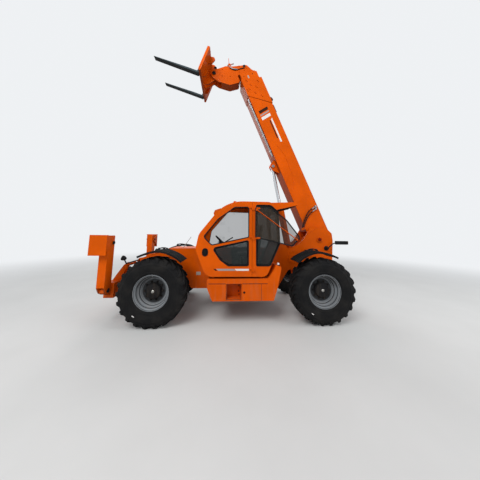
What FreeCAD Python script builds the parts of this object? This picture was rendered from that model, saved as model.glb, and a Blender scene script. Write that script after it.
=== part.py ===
"""Rigid high-reach telehandler with forks, four boom sections and folding front stabilisers.

Machine frame while modelling, in millimetres: origin on the ground at mid wheelbase, +X towards
the forks, +Y to the cab side (left), +Z up. At the end all solids move so that the origin is at the
middle of the bottom of the whole machine's box.
"""
import FreeCAD
import Part

import math
import os

# Running gear
wheelbase = 3500.0
front_axle_x = wheelbase / 2
rear_axle_x = -wheelbase / 2
tyre_radius = 674.0
tyre_width = 445.0
tread_depth = 38.0
lugs_per_side = 22
tyre_flats = 22
wheel_track = 1955.0
rim_seat_radius = 317.0
rim_flange_radius = 343.0
rim_width = 380.0
hub_radius = 200.0
kingpin_y = 800.0
kingpin_radius = 22.0
knuckle_ear_radius = 62.0
axle_boss_half_height = 90.0
axle_tube_radius = 95.0
trunnion_radius = 70.0
spindle_radius = 70.0

# Clearances
pin_clearance = 0.3
seat_gap = 0.3
panel_gap = 5.0

# Frame plates and tower
frame_half_width = 330.0
frame_plate = 30.0
frame_bottom = 520.0
frame_top_under_cab = 930.0
hood_top = 1475.0
tower_top = 2012.0
tower_rear = rear_axle_x - 700.0
tie_down = (front_axle_x + 640.0, 1130.0)
tie_down_radius = 22.0

# Boom pivot and lift cylinder
boom_pivot = (rear_axle_x - 345.0, 1718.0)
boom_angle = 67.5
boom_pin_radius = 45.0
lift_base = (rear_axle_x + 340.0, 1270.0)
lift_eye = (2308.0, -283.0)
lift_barrel_radius = 90.0
lift_rod_radius = 45.0
lift_pin_radius = 35.0
lift_barrel_length = 1400.0
lift_rod_length = 1500.0
lift_lug_gap = 50.0
lift_barrel_half_eye = 63.0

# Boom sections in boom coordinates: s along the boom from its pivot, t across it, +t to the top side
boom_wall = 10.0
outer_bottom = -190.0
outer_top = 380.0
outer_half_width = 210.0
outer_end = 4970.0
section_step_t = 32.0
section_step_y = 27.0
boom_slide_play = 0.3
collar_plate = 12.0
doubler_plate = 6.0

# Hoses, their corner points in boom coordinates (s, y, t)
boom_hose_diameter = 25.0
boom_hose_y = outer_half_width + 26.0
boom_hose_routes = {
    "boom_hose_a": [
        (805.0, boom_hose_y, 195.0), (790.0, boom_hose_y, 105.0), (692.0, boom_hose_y, -31.0),
        (552.0, boom_hose_y, -176.0), (430.0, boom_hose_y, -262.0),
    ],
    "boom_hose_b": [
        (731.0, boom_hose_y, 180.0), (712.0, boom_hose_y, 110.0), (650.0, boom_hose_y, -2.0),
        (537.0, boom_hose_y, -138.0), (432.0, boom_hose_y, -222.0),
    ],
}

# Boom head, its points in boom coordinates
head_end = outer_end + 260.0
head_pivot = (head_end + 251.7, -834.8)
tilt_base_on_boom = (head_end + 182.4, 82.5)

# Fork carriage, the tilt cylinder's eye in its own coordinates
tilt_eye_on_carriage = (41.7, 218.1)
fork_angle = 18.6
carriage_pin_radius = 32.0
head_half_width = 125.0
head_plate = 25.0
head_hose_diameter = 20.0
head_hose_y = head_half_width + 13.0
head_hose_route = [
    (head_end + 245.0, head_hose_y, -325.0), (head_end + 165.0, head_hose_y, -270.0),
    (head_end + 128.0, head_hose_y, -165.0), (head_end + 142.0, head_hose_y, -50.0),
    (head_end + 130.0, head_hose_y, 50.0),
]
carriage_half_width = 600.0
fork_length = 1250.0
fork_width = 120.0
fork_thickness = 50.0
fork_spacing = 860.0
fork_underside = -464.0
fork_back = 241.0

# Tilt cylinder
tilt_barrel_radius = 55.0
tilt_rod_radius = 30.0
tilt_pin_radius = 25.0
tilt_barrel_length = 560.0
tilt_rod_length = 530.0
tilt_lug_gap = 50.0
tilt_barrel_half_eye = 40.0

# Cab
cab_inner_y = 270.0
cab_outer_y = 1120.0
cab_wall = 35.0
cab_floor = 968.0
cab_roof = 2532.0
cab_front_x = 935.0
cab_rear_x = -838.0
door_rear_x = -234.0
pillar_front_x = door_rear_x - 6.0
door_thickness = 32.0
hinge_y = cab_outer_y + 16.0
hinge_x = (door_rear_x + pillar_front_x) / 2
hinge_heights = (cab_roof - 147.0, cab_floor + 792.0, cab_floor + 142.0)
hinge_pin_radius = 6.0
glass_thickness = 8.0

# Engine side and left tank
pod_to_tyre = 176.0
pod_outer_y = 1120.0
pod_inner_y = frame_half_width + 35.0
pod_front_x = front_axle_x - tyre_radius - pod_to_tyre
pod_rear_x = rear_axle_x + tyre_radius + pod_to_tyre
pod_floor_z = 500.0
pod_wall = 8.0
pod_rim_z = 1000.0
hood_lid_top_z = 1440.0
hood_hinge_y = -pod_inner_y - 4.0
hood_hinge_z = hood_lid_top_z + 10.0
hood_hinge_radius = 8.0
hood_pin_radius = 4.0
hood_hinge_xs = (pod_rear_x + 200.0, 0.0, pod_front_x - 260.0)
hood_hinge_length = 60.0
grille_panels = ((-500.0, -110.0), (-90.0, 300.0))
grille_bottom = 1045.0
grille_top = 1200.0
grille_slats = 5

cover_sheet = 6.0
step_recess = (-22.0, 283.0, 520.0, 830.0)
step_depth_y = 890.0

# Stabilisers
stabiliser_x = front_axle_x + 965.0
stabiliser_pivot_y = 1035.0
stabiliser_pivot_z = 690.0
leg_depth_x = 150.0
leg_width_y = 210.0
leg_wall = 12.0
leg_top_z = 1775.0
foot_pin_z = 1630.0
foot_pin_radius = 24.0
foot_face_y = 1250.0
stabiliser_pin_radius = 28.0
beam_front_x = stabiliser_x + 85.0
beam_rear_x = stabiliser_x - 115.0
beam_half_width = stabiliser_pivot_y - 135.0
beam_bottom = 500.0
beam_top = 800.0
beam_wall = 12.0
front_member_x = front_axle_x + 690.0
member_thickness = 40.0

nodes = {}


def vec(x, y, z):
    return FreeCAD.Vector(x, y, z)


def corner_points(points):
    """Start, middle and end of each corner's arc, for an outline whose corners are (a, b, radius)."""
    count = len(points)
    corners = []
    for i in range(count):
        a, b, radius = points[i]
        here = vec(a, b, 0)
        before = vec(points[i - 1][0], points[i - 1][1], 0) - here
        after = vec(points[(i + 1) % count][0], points[(i + 1) % count][1], 0) - here
        if radius <= 0:
            corners.append((here, here, here))
            continue
        before.normalize()
        after.normalize()
        half = before.getAngle(after) / 2
        reach = radius / math.tan(half)
        middle = before + after
        middle.normalize()
        to_arc = radius / math.sin(half) - radius
        corners.append((here + before * reach, here + middle * to_arc, here + after * reach))
    return corners


def outline(points, place):
    """Closed wire of lines and corner arcs; place maps the outline's two coordinates to space."""
    corners = corner_points(points)
    edges = []
    for i, (start, middle, end) in enumerate(corners):
        if start.distanceToPoint(end) > 1e-6:
            edges.append(Part.Arc(place(start), place(middle), place(end)).toShape())
        following = corners[(i + 1) % len(corners)][0]
        if end.distanceToPoint(following) > 1e-6:
            edges.append(Part.LineSegment(place(end), place(following)).toShape())
    return Part.Wire(edges)


def slab_y(points, y0, y1):
    """Outline in X and Z, extruded along Y."""
    wire = outline(points, lambda p: vec(p.x, y0, p.y))
    return Part.Face(wire).extrude(vec(0, y1 - y0, 0))


def slab_x(points, x0, x1):
    """Outline in Y and Z, extruded along X."""
    wire = outline(points, lambda p: vec(x0, p.x, p.y))
    return Part.Face(wire).extrude(vec(x1 - x0, 0, 0))


def slab_z(points, z0, z1):
    """Outline in X and Y, extruded along Z."""
    wire = outline(points, lambda p: vec(p.x, p.y, z0))
    return Part.Face(wire).extrude(vec(0, 0, z1 - z0))


def block(x0, x1, y0, y1, z0, z1):
    return Part.makeBox(x1 - x0, y1 - y0, z1 - z0, vec(x0, y0, z0))


def bar(start, end, radius):
    """Round bar between two points."""
    along = vec(*end) - vec(*start)
    return Part.makeCylinder(radius, along.Length, vec(*start), along)


def bar_y(x, z, radius, y0, y1):
    return bar((x, y0, z), (x, y1, z), radius)


def fused(*shapes):
    return shapes[0].multiFuse(list(shapes[1:])).removeSplitter()


def minus(shape, *tools):
    return shape.cut(list(tools))


def turned_y(points):
    """Solid of revolution about Y from an outline of (radius, y)."""
    wire = Part.makePolygon([vec(r, y, 0) for r, y in points + points[:1]])
    return Part.Face(wire).revolve(vec(0, 0, 0), vec(0, 1, 0), 360)


def faceted(faces):
    """Solid from flat faces, each given by its corner points."""
    return Part.makeSolid(Part.makeShell([Part.Face(Part.makePolygon(face + face[:1])) for face in faces]))


def rounded_path(route):
    """Straight runs joined by tangent arcs that take 0.45 of the shorter run at each corner."""
    edges = []
    radii = []
    start = route[0]
    for before, here, after in zip(route, route[1:], route[2:]):
        back = before - here
        ahead = after - here
        reach = 0.45 * min(back.Length, ahead.Length)
        half_turn = (math.pi - back.getAngle(ahead)) / 2
        radius = reach / math.tan(half_turn)
        back.normalize()
        ahead.normalize()
        inwards = back + ahead
        inwards.normalize()
        middle = here + inwards * (radius / math.cos(half_turn) - radius)
        edges.append(Part.LineSegment(start, here + back * reach).toShape())
        start = here + ahead * reach
        edges.append(Part.Arc(here + back * reach, middle, start).toShape())
        radii.append(round(radius))
    edges.append(Part.LineSegment(start, route[-1]).toShape())
    return Part.Wire(edges), radii


def hose(name, points, diameter):
    """Hose swept along its route; prints its length, its bends and how full the sweep is."""
    route = [vec(*point) for point in points]
    path, radii = rounded_path(route)
    section = Part.Wire(Part.makeCircle(diameter / 2, route[0], route[1] - route[0]))
    swept = path.makePipeShell([section], True, False)
    fill = swept.Volume / (math.pi * diameter ** 2 / 4 * path.Length)
    print(name, "length", round(path.Length), "radii", radii, "fill", round(fill, 3))
    return swept


def beyond(points, end, distance):
    """Point past a route's first (0) or last (-1) point, straight on along its run."""
    last = vec(*points[end])
    inner = vec(*points[1 if end == 0 else -2])
    along = last - inner
    along.normalize()
    return last + along * distance


def moved(shape, x, y, z):
    copy = shape.copy()
    copy.translate(vec(x, y, z))
    return copy


def mirrored(shape):
    return shape.mirror(vec(0, 0, 0), vec(0, 1, 0))


def both_sides(shape):
    return [shape, mirrored(shape)]


def raised(shape, pivot, angle):
    """Turn a shape drawn along +X up by an angle and put its origin at a pivot (x, z)."""
    copy = shape.copy()
    copy.rotate(vec(0, 0, 0), vec(0, -1, 0), angle)
    copy.translate(vec(pivot[0], 0, pivot[1]))
    return copy


def along_boom(s, t):
    """Machine X and Z of a point in boom coordinates."""
    turn = math.radians(boom_angle)
    x = boom_pivot[0] + s * math.cos(turn) - t * math.sin(turn)
    z = boom_pivot[1] + s * math.sin(turn) + t * math.cos(turn)
    return x, z


def reach_and_angle(start, end):
    """Distance and elevation from one (x, z) point to another."""
    dx = end[0] - start[0]
    dz = end[1] - start[1]
    return math.hypot(dx, dz), math.degrees(math.atan2(dz, dx))


def on_carriage(f, g):
    """Machine X and Z of a point in the carriage's coordinates: f along the forks, g up from them."""
    turn = math.radians(fork_angle)
    x = carriage_pivot[0] + f * math.cos(turn) - g * math.sin(turn)
    z = carriage_pivot[1] + f * math.sin(turn) + g * math.cos(turn)
    return x, z


carriage_pivot = along_boom(*head_pivot)
tilt_base = along_boom(*tilt_base_on_boom)
tilt_eye = on_carriage(*tilt_eye_on_carriage)


def keep(name, *shapes):
    nodes[name] = Part.makeCompound(list(shapes)) if len(shapes) > 1 else shapes[0]


# Wheels, knuckles and axles, drawn for the left side with the wheel's centre at the origin

half_tyre = tyre_width / 2
bead_y = rim_width / 2 - 12
tyre_bulge_radius = 480.0
side_slope = (half_tyre - bead_y) / (tyre_bulge_radius - rim_seat_radius)
kingpin_from_wheel = kingpin_y - wheel_track / 2
knuckle_plate_y = kingpin_from_wheel + 97
axle_z = tyre_radius


def round_the_wheel(radius, y, turn):
    """Point at a radius, a Y and an angle round the wheel, where zero is straight down."""
    return vec(radius * math.sin(turn), y, -radius * math.cos(turn))


def carcass():
    """Tyre without its lugs, with flats round it; the bore's flats clear the rim's round seat."""
    step = 2 * math.pi / tyre_flats
    half_profile = [
        ((rim_seat_radius + seat_gap) / math.cos(step / 2), bead_y - seat_gap),
        (tyre_bulge_radius, half_tyre),
        (tyre_radius - tread_depth, half_tyre - 40),
    ]
    profile = half_profile + [(radius, -y) for radius, y in reversed(half_profile)]
    faces = []
    for k in range(tyre_flats):
        for (r0, y0), (r1, y1) in zip(profile, profile[1:] + profile[:1]):
            faces.append([
                round_the_wheel(r0, y0, k * step), round_the_wheel(r1, y1, k * step),
                round_the_wheel(r1, y1, (k + 1) * step), round_the_wheel(r0, y0, (k + 1) * step),
            ])
    return faceted(faces)


lug_ends = [
    # y, turn at its middle, half width, foot radius, top radius
    (8.0, 0.0, 19.0, tyre_radius - 74, tyre_radius),
    (half_tyre - 30, 0.26, 27.0, tyre_radius - 84, tyre_radius - 10),
]


def tread_lug():
    """Lug of the tread's left half, from the middle out to the shoulder."""
    rings = []
    for y, turn, half_width, foot, top in lug_ends:
        spread = half_width / tyre_radius
        rings.append([
            round_the_wheel(foot, y, turn - 1.3 * spread), round_the_wheel(top, y, turn - spread),
            round_the_wheel(top, y, turn + spread), round_the_wheel(foot, y, turn + 1.3 * spread),
        ])
    inner, outer = rings
    faces = [inner, outer]
    for i in range(4):
        faces.append([inner[i - 1], inner[i], outer[i]])
        faces.append([inner[i - 1], outer[i], outer[i - 1]])
    return faceted(faces)


def spun(shape, angle):
    copy = shape.copy()
    copy.rotate(vec(0, 0, 0), vec(0, -1, 0), angle)
    return copy


def tyre():
    """Carcass with lugs on both halves of the tread, the right half's half a pitch further on."""
    pitch = 360 / lugs_per_side
    onto_flat = 0.2 * pitch
    lug_edge = math.degrees(lug_ends[0][2] / tyre_radius)
    lugs = []
    for k in range(lugs_per_side):
        left = spun(tread_lug(), onto_flat + k * pitch)
        lugs += [left, spun(mirrored(left), pitch / 2)]
    return spun(fused(carcass(), *lugs), lug_edge - onto_flat)


def rim():
    edge = rim_width / 2
    flange_y = bead_y + (rim_flange_radius - rim_seat_radius) * side_slope + seat_gap
    barrel = turned_y([
        (rim_flange_radius, edge),
        (rim_flange_radius, flange_y),
        (rim_seat_radius, bead_y),
        (rim_seat_radius, -bead_y),
        (rim_flange_radius, -flange_y),
        (rim_flange_radius, -edge),
        (rim_flange_radius - 14, -edge),
        (302, -edge + 30),
        (302, -30),
        (hub_radius - 20, -14),
        (hub_radius - 20, 4),
        (280, 4),
        (292, 20),
        (292, 80),
        (304, 92),
        (304, edge - 26),
        (rim_flange_radius - 14, edge),
    ])
    hub = turned_y([
        (spindle_radius + pin_clearance, knuckle_plate_y + seat_gap),
        (hub_radius, knuckle_plate_y + seat_gap),
        (hub_radius, 40),
        (150, 58),
        (130, 84),
        (26, 92),
        (22, 104),
        (0, 104),
        (0, -8),
        (spindle_radius + pin_clearance, -8),
    ])
    return fused(barrel, hub)


def knuckle():
    ear_low = axle_boss_half_height + seat_gap
    ear_high = ear_low + 30
    ears = []
    for side in (-1, 1):
        z0 = min(side * ear_low, side * ear_high)
        ears.append(slab_z([
            (-knuckle_ear_radius, kingpin_from_wheel - knuckle_ear_radius, knuckle_ear_radius - 1),
            (knuckle_ear_radius, kingpin_from_wheel - knuckle_ear_radius, knuckle_ear_radius - 1),
            (knuckle_ear_radius + 30, knuckle_plate_y, 0),
            (-knuckle_ear_radius - 30, knuckle_plate_y, 0),
        ], z0, z0 + 30))
    plate = block(-100, 100, knuckle_plate_y - 25, knuckle_plate_y, -ear_high, ear_high)
    pin_end = ear_high + 8
    kingpin = bar((0, kingpin_from_wheel, -pin_end), (0, kingpin_from_wheel, pin_end), kingpin_radius)
    spindle = bar((0, knuckle_plate_y - 5, 0), (0, -10, 0), spindle_radius)
    return fused(plate, kingpin, spindle, *ears)


def axle():
    """Axle beam about the axle's centre, with the differential housing and two trunnions."""
    neck = kingpin_y - 110
    beam = turned_y([
        (0, -neck), (72, -neck), (axle_tube_radius, -neck + 90), (axle_tube_radius + 18, -280),
        (180, -170), (180, 170), (axle_tube_radius + 18, 280),
        (axle_tube_radius, neck - 90), (72, neck), (0, neck),
    ])
    low = (0, kingpin_y, -axle_boss_half_height)
    high = (0, kingpin_y, axle_boss_half_height)
    end = fused(bar(low, high, 55), block(-48, 48, neck - 20, kingpin_y, -60, 60))
    trunnions = bar((-235, 0, 0), (235, 0, 0), trunnion_radius)
    beam = fused(beam, trunnions, *both_sides(end))
    return minus(beam, *both_sides(bar(low, high, kingpin_radius + pin_clearance)))


wheels = [
    # name, x, side
    ("fl", front_axle_x, 1),
    ("fr", front_axle_x, -1),
    ("rl", rear_axle_x, 1),
    ("rr", rear_axle_x, -1),
]


def running_gear():
    left = {"tyre": tyre(), "rim": rim(), "knuckle": knuckle()}
    for corner, x, side in wheels:
        for kind, shape in left.items():
            sided = shape if side > 0 else mirrored(shape)
            keep(kind + "_" + corner, moved(sided, x, side * wheel_track / 2, axle_z))
    beam = axle()
    keep("front_axle", moved(beam, front_axle_x, 0, axle_z))
    keep("rear_axle", moved(beam, rear_axle_x, 0, axle_z))


# Chassis

plate_inner_y = frame_half_width - frame_plate
valley_x = rear_axle_x + 480
hump_front_x = cab_rear_x - 47
side_plate_outline = [
    # x, z, corner radius
    (tower_rear + 50, 962, 20),
    (tower_rear, 1700, 120),
    (tower_rear + 20, tower_top - 132, 60),
    (tower_rear + 160, tower_top, 60),
    (tower_rear + 600, tower_top, 20),
    (rear_axle_x + 118, 1644, 560),
    (valley_x, 1470, 60),
    (valley_x + 0.234 * (hump_front_x - valley_x), 1600, 30),
    (hump_front_x, 1600, 30),
    (cab_rear_x + 238, frame_top_under_cab, 60),
    (cab_front_x - 135, frame_top_under_cab, 60),
    (cab_front_x + 55, hood_top, 40),
    (front_axle_x - 47, hood_top - 10, 200),
    (front_axle_x + 234, hood_top - 100, 60),
    (front_axle_x + 554, 1250, 30),
    (front_axle_x + 662, 1228, 40),
    (front_axle_x + 730, 1060, 60),
    (front_axle_x + 840, 960, 40),
    (front_axle_x + 890, 700, 0),
    (front_axle_x + 1040, 455, 20),
    (front_axle_x + 910, 455, 20),
    (front_axle_x + 580, 930, 120),
    (front_axle_x - 350, 930, 120),
    (front_axle_x - 615, frame_bottom, 60),
    (rear_axle_x + 775, frame_bottom, 60),
    (rear_axle_x + 488, 962, 100),
]
second_pin = (tower_rear + 190, 1500)


def frame_plates():
    """Left and right plate with the bosses round the boom pin and the lift cylinder's base pin."""
    plate = slab_y(side_plate_outline, plate_inner_y, frame_half_width)
    bosses = [
        # x, z, radius, height outside the plate
        (*boom_pivot, 78, 14),
        (*second_pin, 66, 12),
        (*lift_base, 178, 6),
        (*lift_base, 96, 10),
    ]
    rings = []
    for x, z, radius, height in bosses:
        rings.append(bar_y(x, z, radius, plate_inner_y + 5, frame_half_width + height))
    rings.append(bar_y(*lift_base, 70, lift_barrel_half_eye + 3, plate_inner_y + 5))
    # two mounting pads for the cab
    for x in (cab_rear_x + 408, cab_front_x - 375):
        rings.append(bar((x, frame_half_width - 22, frame_top_under_cab - 4),
                         (x, frame_half_width - 22, cab_floor - seat_gap), 18))
    left = minus(fused(plate, *rings),
                 bar_y(*tie_down, tie_down_radius, 0, beam_half_width),
                 bar_y(*boom_pivot, boom_pin_radius + seat_gap, 0, beam_half_width),
                 bar_y(*lift_base, lift_pin_radius + seat_gap, 0, beam_half_width))
    return both_sides(left)


def chassis_frame():
    """Cross members, axle hangers, channel floor, front hood and the two big pins, between the plates."""
    inner_y = plate_inner_y - seat_gap
    floor_x0 = rear_axle_x + 850
    floor_x1 = front_axle_x - 610
    channel = [block(floor_x0, floor_x1, -inner_y, inner_y, frame_bottom + 20, frame_bottom + 40)]
    # members on the channel's floor: rear x, top z
    for x0, top in ((floor_x0, 900), (-member_thickness / 2, 900), (floor_x1 - member_thickness, 1300)):
        channel.append(block(x0, x0 + member_thickness, -inner_y, inner_y, frame_bottom + 20, top))
    pieces = [
        fused(*channel),
        block(tower_rear + 50, tower_rear + 50 + member_thickness, -inner_y, inner_y, 980, 1380),
        block(front_member_x, front_member_x + member_thickness, -inner_y, inner_y, 620, 1040),
        slab_y([
            (cab_front_x + 105, hood_top - 12, 0), (cab_front_x + 105, hood_top, 0),
            (front_axle_x - 47, hood_top - 10, 150), (front_axle_x + 234, hood_top - 100, 60),
            (front_axle_x + 554, 1250, 0), (front_axle_x + 554, 1236, 0),
            (front_axle_x + 234, hood_top - 114, 60), (front_axle_x - 47, hood_top - 24, 150),
        ], -inner_y, inner_y),
    ]
    for x_axle in (rear_axle_x, front_axle_x):
        hangers = [block(x_axle - 220, x_axle + 220, -inner_y, inner_y, 990, 1010)]
        for x0 in (x_axle - 230, x_axle + 194):
            hanger = slab_x([
                (-inner_y, 1010, 0), (inner_y, 1010, 0), (inner_y, 930, 0), (130, 570, 90), (-130, 570, 90),
                (-inner_y, 930, 0),
            ], x0, x0 + 36)
            bore = bar((x0 - 1, 0, axle_z), (x0 + 40, 0, axle_z), trunnion_radius + pin_clearance)
            hangers.append(minus(hanger, bore))
        pieces.append(fused(*hangers))
    pieces.append(bar_y(*boom_pivot, boom_pin_radius, -frame_half_width - 22, frame_half_width + 22))
    pieces.append(bar_y(*lift_base, lift_pin_radius, -frame_half_width - 14, frame_half_width + 14))
    return pieces


def front_beam():
    """Cross beam that carries the stabiliser legs, with an eye lug at each end."""
    plate = outline(side_plate_outline, lambda p: vec(p.x, 0, p.y)).makeOffset2D(seat_gap)
    slot = Part.Face(plate).extrude(vec(0, frame_plate + 2 * seat_gap, 0))
    slot.translate(vec(0, plate_inner_y - seat_gap, 0))
    tube = block(beam_rear_x, beam_front_x, -beam_half_width, beam_half_width, beam_bottom, beam_top)
    hollow_y = beam_half_width - 40
    hollow = block(beam_rear_x + beam_wall, beam_front_x - beam_wall, -hollow_y, hollow_y,
                   beam_bottom + beam_wall, beam_top - beam_wall)
    tube = minus(tube, hollow, *both_sides(slot))
    lugs = []
    for side in (-1, 1):
        lug = slab_x([
            (side * (stabiliser_pivot_y + 58), stabiliser_pivot_z + 58, 57),
            (side * (stabiliser_pivot_y + 58), stabiliser_pivot_z - 58, 57),
            (side * (beam_half_width - 20), beam_bottom + 60, 0),
            (side * (beam_half_width - 20), beam_top - 52, 0),
        ], stabiliser_x - 45, stabiliser_x + 45)
        bore = bar((beam_rear_x, side * stabiliser_pivot_y, stabiliser_pivot_z),
                   (beam_front_x, side * stabiliser_pivot_y, stabiliser_pivot_z),
                   stabiliser_pin_radius + pin_clearance)
        lugs.append(minus(lug, bore))
    mount_half = plate_inner_y - 40
    mount = block(front_member_x + member_thickness + seat_gap, beam_rear_x, -mount_half, mount_half,
                  beam_bottom + 140, beam_top)
    return fused(tube, mount, *lugs)


def stabiliser_leg():
    """Left leg, folded up, with two eye plates at its foot end and the pin of its beam eye."""
    x0 = stabiliser_x - leg_depth_x / 2
    x1 = stabiliser_x + leg_depth_x / 2
    y0 = stabiliser_pivot_y - 95
    y1 = y0 + leg_width_y
    tube = slab_x([(y0, 765, 0), (y1, 765, 0), (y1, leg_top_z, 20), (y0, leg_top_z, 20)], x0, x1)
    hollow = block(x0 + leg_wall, x1 - leg_wall, y0 + leg_wall, y1 - leg_wall, 760, leg_top_z - leg_wall)
    tube = minus(tube, hollow)
    cheeks = []
    for low, high in ((x0, x0 + 25), (x1 - 25, x1)):
        cheeks.append(slab_x([
            (y0, 900, 0), (y0, 700, 40), (stabiliser_pivot_y - 30, stabiliser_pivot_z - 58, 50),
            (stabiliser_pivot_y + 40, stabiliser_pivot_z - 58, 50), (y1, 760, 40), (y1, 900, 0),
        ], low, high))
    pin = bar((x0 - 12, stabiliser_pivot_y, stabiliser_pivot_z),
              (x1 + 12, stabiliser_pivot_y, stabiliser_pivot_z), stabiliser_pin_radius)
    foot_pin = bar((x0 - 42, stabiliser_pivot_y, foot_pin_z), (x1 + 42, stabiliser_pivot_y, foot_pin_z),
                   foot_pin_radius)
    return fused(tube, pin, foot_pin, *cheeks)


def stabiliser_foot():
    """Left foot plate, folded flat along the leg's outer side, on two ears round the leg."""
    x0 = stabiliser_x - leg_depth_x / 2
    x1 = stabiliser_x + leg_depth_x / 2
    plate_x0 = stabiliser_x - 110
    plate_x1 = stabiliser_x + 220
    plate = block(plate_x0, plate_x1, foot_face_y - 16, foot_face_y, foot_pin_z - 239, foot_pin_z + 156)
    lip = block(plate_x0, plate_x1, foot_face_y - 46, foot_face_y, foot_pin_z + 140, foot_pin_z + 156)
    ears = []
    for low in (x0 - 30, x1 + panel_gap):
        ears.append(slab_x([
            (foot_face_y - 10, foot_pin_z + 150, 0), (foot_face_y - 10, foot_pin_z - 180, 0),
            (stabiliser_pivot_y - 45, foot_pin_z - 45, 40), (stabiliser_pivot_y - 45, foot_pin_z + 45, 40),
        ], low, low + 25))
    bore = bar((x0 - 60, stabiliser_pivot_y, foot_pin_z), (x1 + 60, stabiliser_pivot_y, foot_pin_z),
               foot_pin_radius + pin_clearance)
    return minus(fused(plate, lip, *ears), bore)


def counterweight():
    half = plate_inner_y - seat_gap
    rear = tower_rear + 50 + member_thickness + seat_gap
    return slab_y([
        (rear, 1000, 20), (rear_axle_x - 260, 1020, 20), (rear_axle_x - 260, 1330, 20), (rear, 1370, 20),
    ], -half, half)


def mudguard():
    """Left front guard as a bent plate above the tyre, with its stay to the frame."""
    outer = [
        # x from the wheel centre towards the front, z above the ground
        (305, 1366), (150, 1428), (-25, 1474), (-222, 1461), (-423, 1373), (-566, 1274),
    ]
    top = [vec(x, 0, z) for x, z in outer]
    bottom = [vec(x * 0.985, 0, z - 14) for x, z in reversed(outer)]
    face = Part.Face(Part.makePolygon(top + bottom + top[:1]))
    plate = face.extrude(vec(0, 470, 0))
    plate.translate(vec(0, 720, 0))
    stay = block(-60, 10, frame_half_width + seat_gap, 725, 1440, 1456)
    return fused(plate, stay)


def mudguards():
    front = moved(mudguard(), front_axle_x, 0, 0)
    rear = front.mirror(vec(0, 0, 0), vec(1, 0, 0))
    keep("front_mudguards", *both_sides(front))
    keep("rear_mudguards", *both_sides(rear))


def lamps():
    stem_x = front_axle_x + 652
    front = fused(
        bar((stem_x, 890, 1190), (stem_x, frame_half_width + seat_gap, 1190), 14),
        bar((stem_x, 880, 1190), (stem_x + 48, 880, 1270), 12),
        Part.makeCone(24, 50, 46, vec(stem_x + 14, 880, 1287), vec(4, 0, 1)),
        bar((stem_x + 56, 880, 1297.5), (stem_x + 88, 880, 1305.5), 50),
    )
    keep("front_lamps", *both_sides(front))
    root_x, root_z = second_pin
    lamp_y = frame_half_width + 90
    rear = fused(
        bar((root_x, frame_half_width + 12 + seat_gap, root_z), (root_x, lamp_y + 20, root_z), 26),
        bar((root_x, lamp_y, root_z), (root_x - 210, lamp_y, root_z + 140), 14),
        block(root_x - 540, root_x - 200, lamp_y - 20, lamp_y + 20, root_z + 100, root_z + 190),
    )
    keep("rear_lamps", *both_sides(rear))


# Cab

cab_outline = [
    # x, z, corner radius
    (cab_front_x - 223, cab_floor, 215),
    (cab_front_x, cab_floor + 552, 150),
    (cab_front_x - 55, cab_floor + 857, 300),
    (cab_front_x - 603, cab_roof, 780),
    (cab_rear_x + 75, cab_roof, 200),
    (cab_rear_x, cab_floor + 682, 100),
    (cab_rear_x + 293, cab_floor, 150),
]

door_window = [
    (cab_front_x - 153, cab_floor + 804, 60),
    (cab_front_x - 328, cab_floor + 635, 60),
    (door_rear_x + 68, cab_floor + 807, 30),
    (door_rear_x + 71, cab_roof - 118, 40),
    (cab_front_x - 799, cab_roof - 124, 60),
    (cab_front_x - 447, cab_roof - 386, 60),
]
door_lower_window = [
    (cab_front_x - 344, cab_floor + 574, 50),
    (door_rear_x + 74, cab_floor + 743, 30),
    (door_rear_x + 70, cab_floor + 219, 30),
    (cab_front_x - 675, cab_floor + 218, 60),
    (cab_front_x - 510, cab_floor + 337, 60),
]
side_window = [
    (pillar_front_x - 84, cab_roof - 69, 30),
    (cab_rear_x + 198, cab_roof - 66, 130),
    (cab_rear_x + 34, cab_roof - 211, 60),
    (cab_rear_x + 10, cab_floor + 682, 60),
    (cab_rear_x + 215, cab_floor + 218, 60),
    (pillar_front_x - 87, cab_floor + 217, 30),
]
inner_window = [
    (cab_front_x - 235, cab_floor + 932, 60),
    (cab_front_x - 175, cab_floor + 532, 60),
    (cab_front_x - 315, cab_floor + 232, 60),
    (cab_rear_x + 278, cab_floor + 232, 60),
    (cab_rear_x + 68, cab_floor + 682, 60),
    (cab_rear_x + 118, cab_roof - 152, 80),
    (cab_front_x - 655, cab_roof - 132, 120),
]


def cab_slab(distance, y0, y1):
    """Slab between two Y with the cab's outline drawn inwards by a distance."""
    wire = outline(cab_outline, lambda p: vec(p.x, y0, p.y))
    if distance:
        wire = wire.makeOffset2D(-distance)
    return Part.Face(wire).extrude(vec(0, y1 - y0, 0))


def cab_band(outer_distance, inner_distance, y0, y1):
    """Skin that follows the cab's outline between two depths."""
    return minus(cab_slab(outer_distance, y0, y1), cab_slab(inner_distance, y0, y1))


def windscreen_tool(shrink):
    y0 = cab_inner_y + 70 + shrink
    y1 = cab_outer_y - door_thickness - panel_gap - 60 - shrink
    sill = cab_floor + 532 + shrink
    head = cab_roof - 292 - shrink
    rear = cab_front_x - 735 + shrink
    return slab_y([
        (cab_front_x + 165, sill, 0), (cab_front_x + 165, head, 0), (cab_front_x - 435, cab_roof + 268, 0),
        (rear, cab_roof + 268, 0), (rear, cab_roof - 232, 0), (cab_front_x - 235, sill, 0),
    ], y0, y1)


def rear_window_tool(shrink):
    y0 = cab_inner_y + 70 + shrink
    y1 = cab_outer_y - cab_wall - 60 - shrink
    return block(cab_rear_x - 262, cab_rear_x + 238, y0, y1,
                 cab_floor + 732 + shrink, cab_roof - 232 - shrink)


def cab_span(x0, x1, y0, y1):
    """Box over the cab's whole height, to keep part of its outline."""
    return block(x0, x1, y0, y1, cab_floor - 70, cab_roof + 70)


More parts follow.
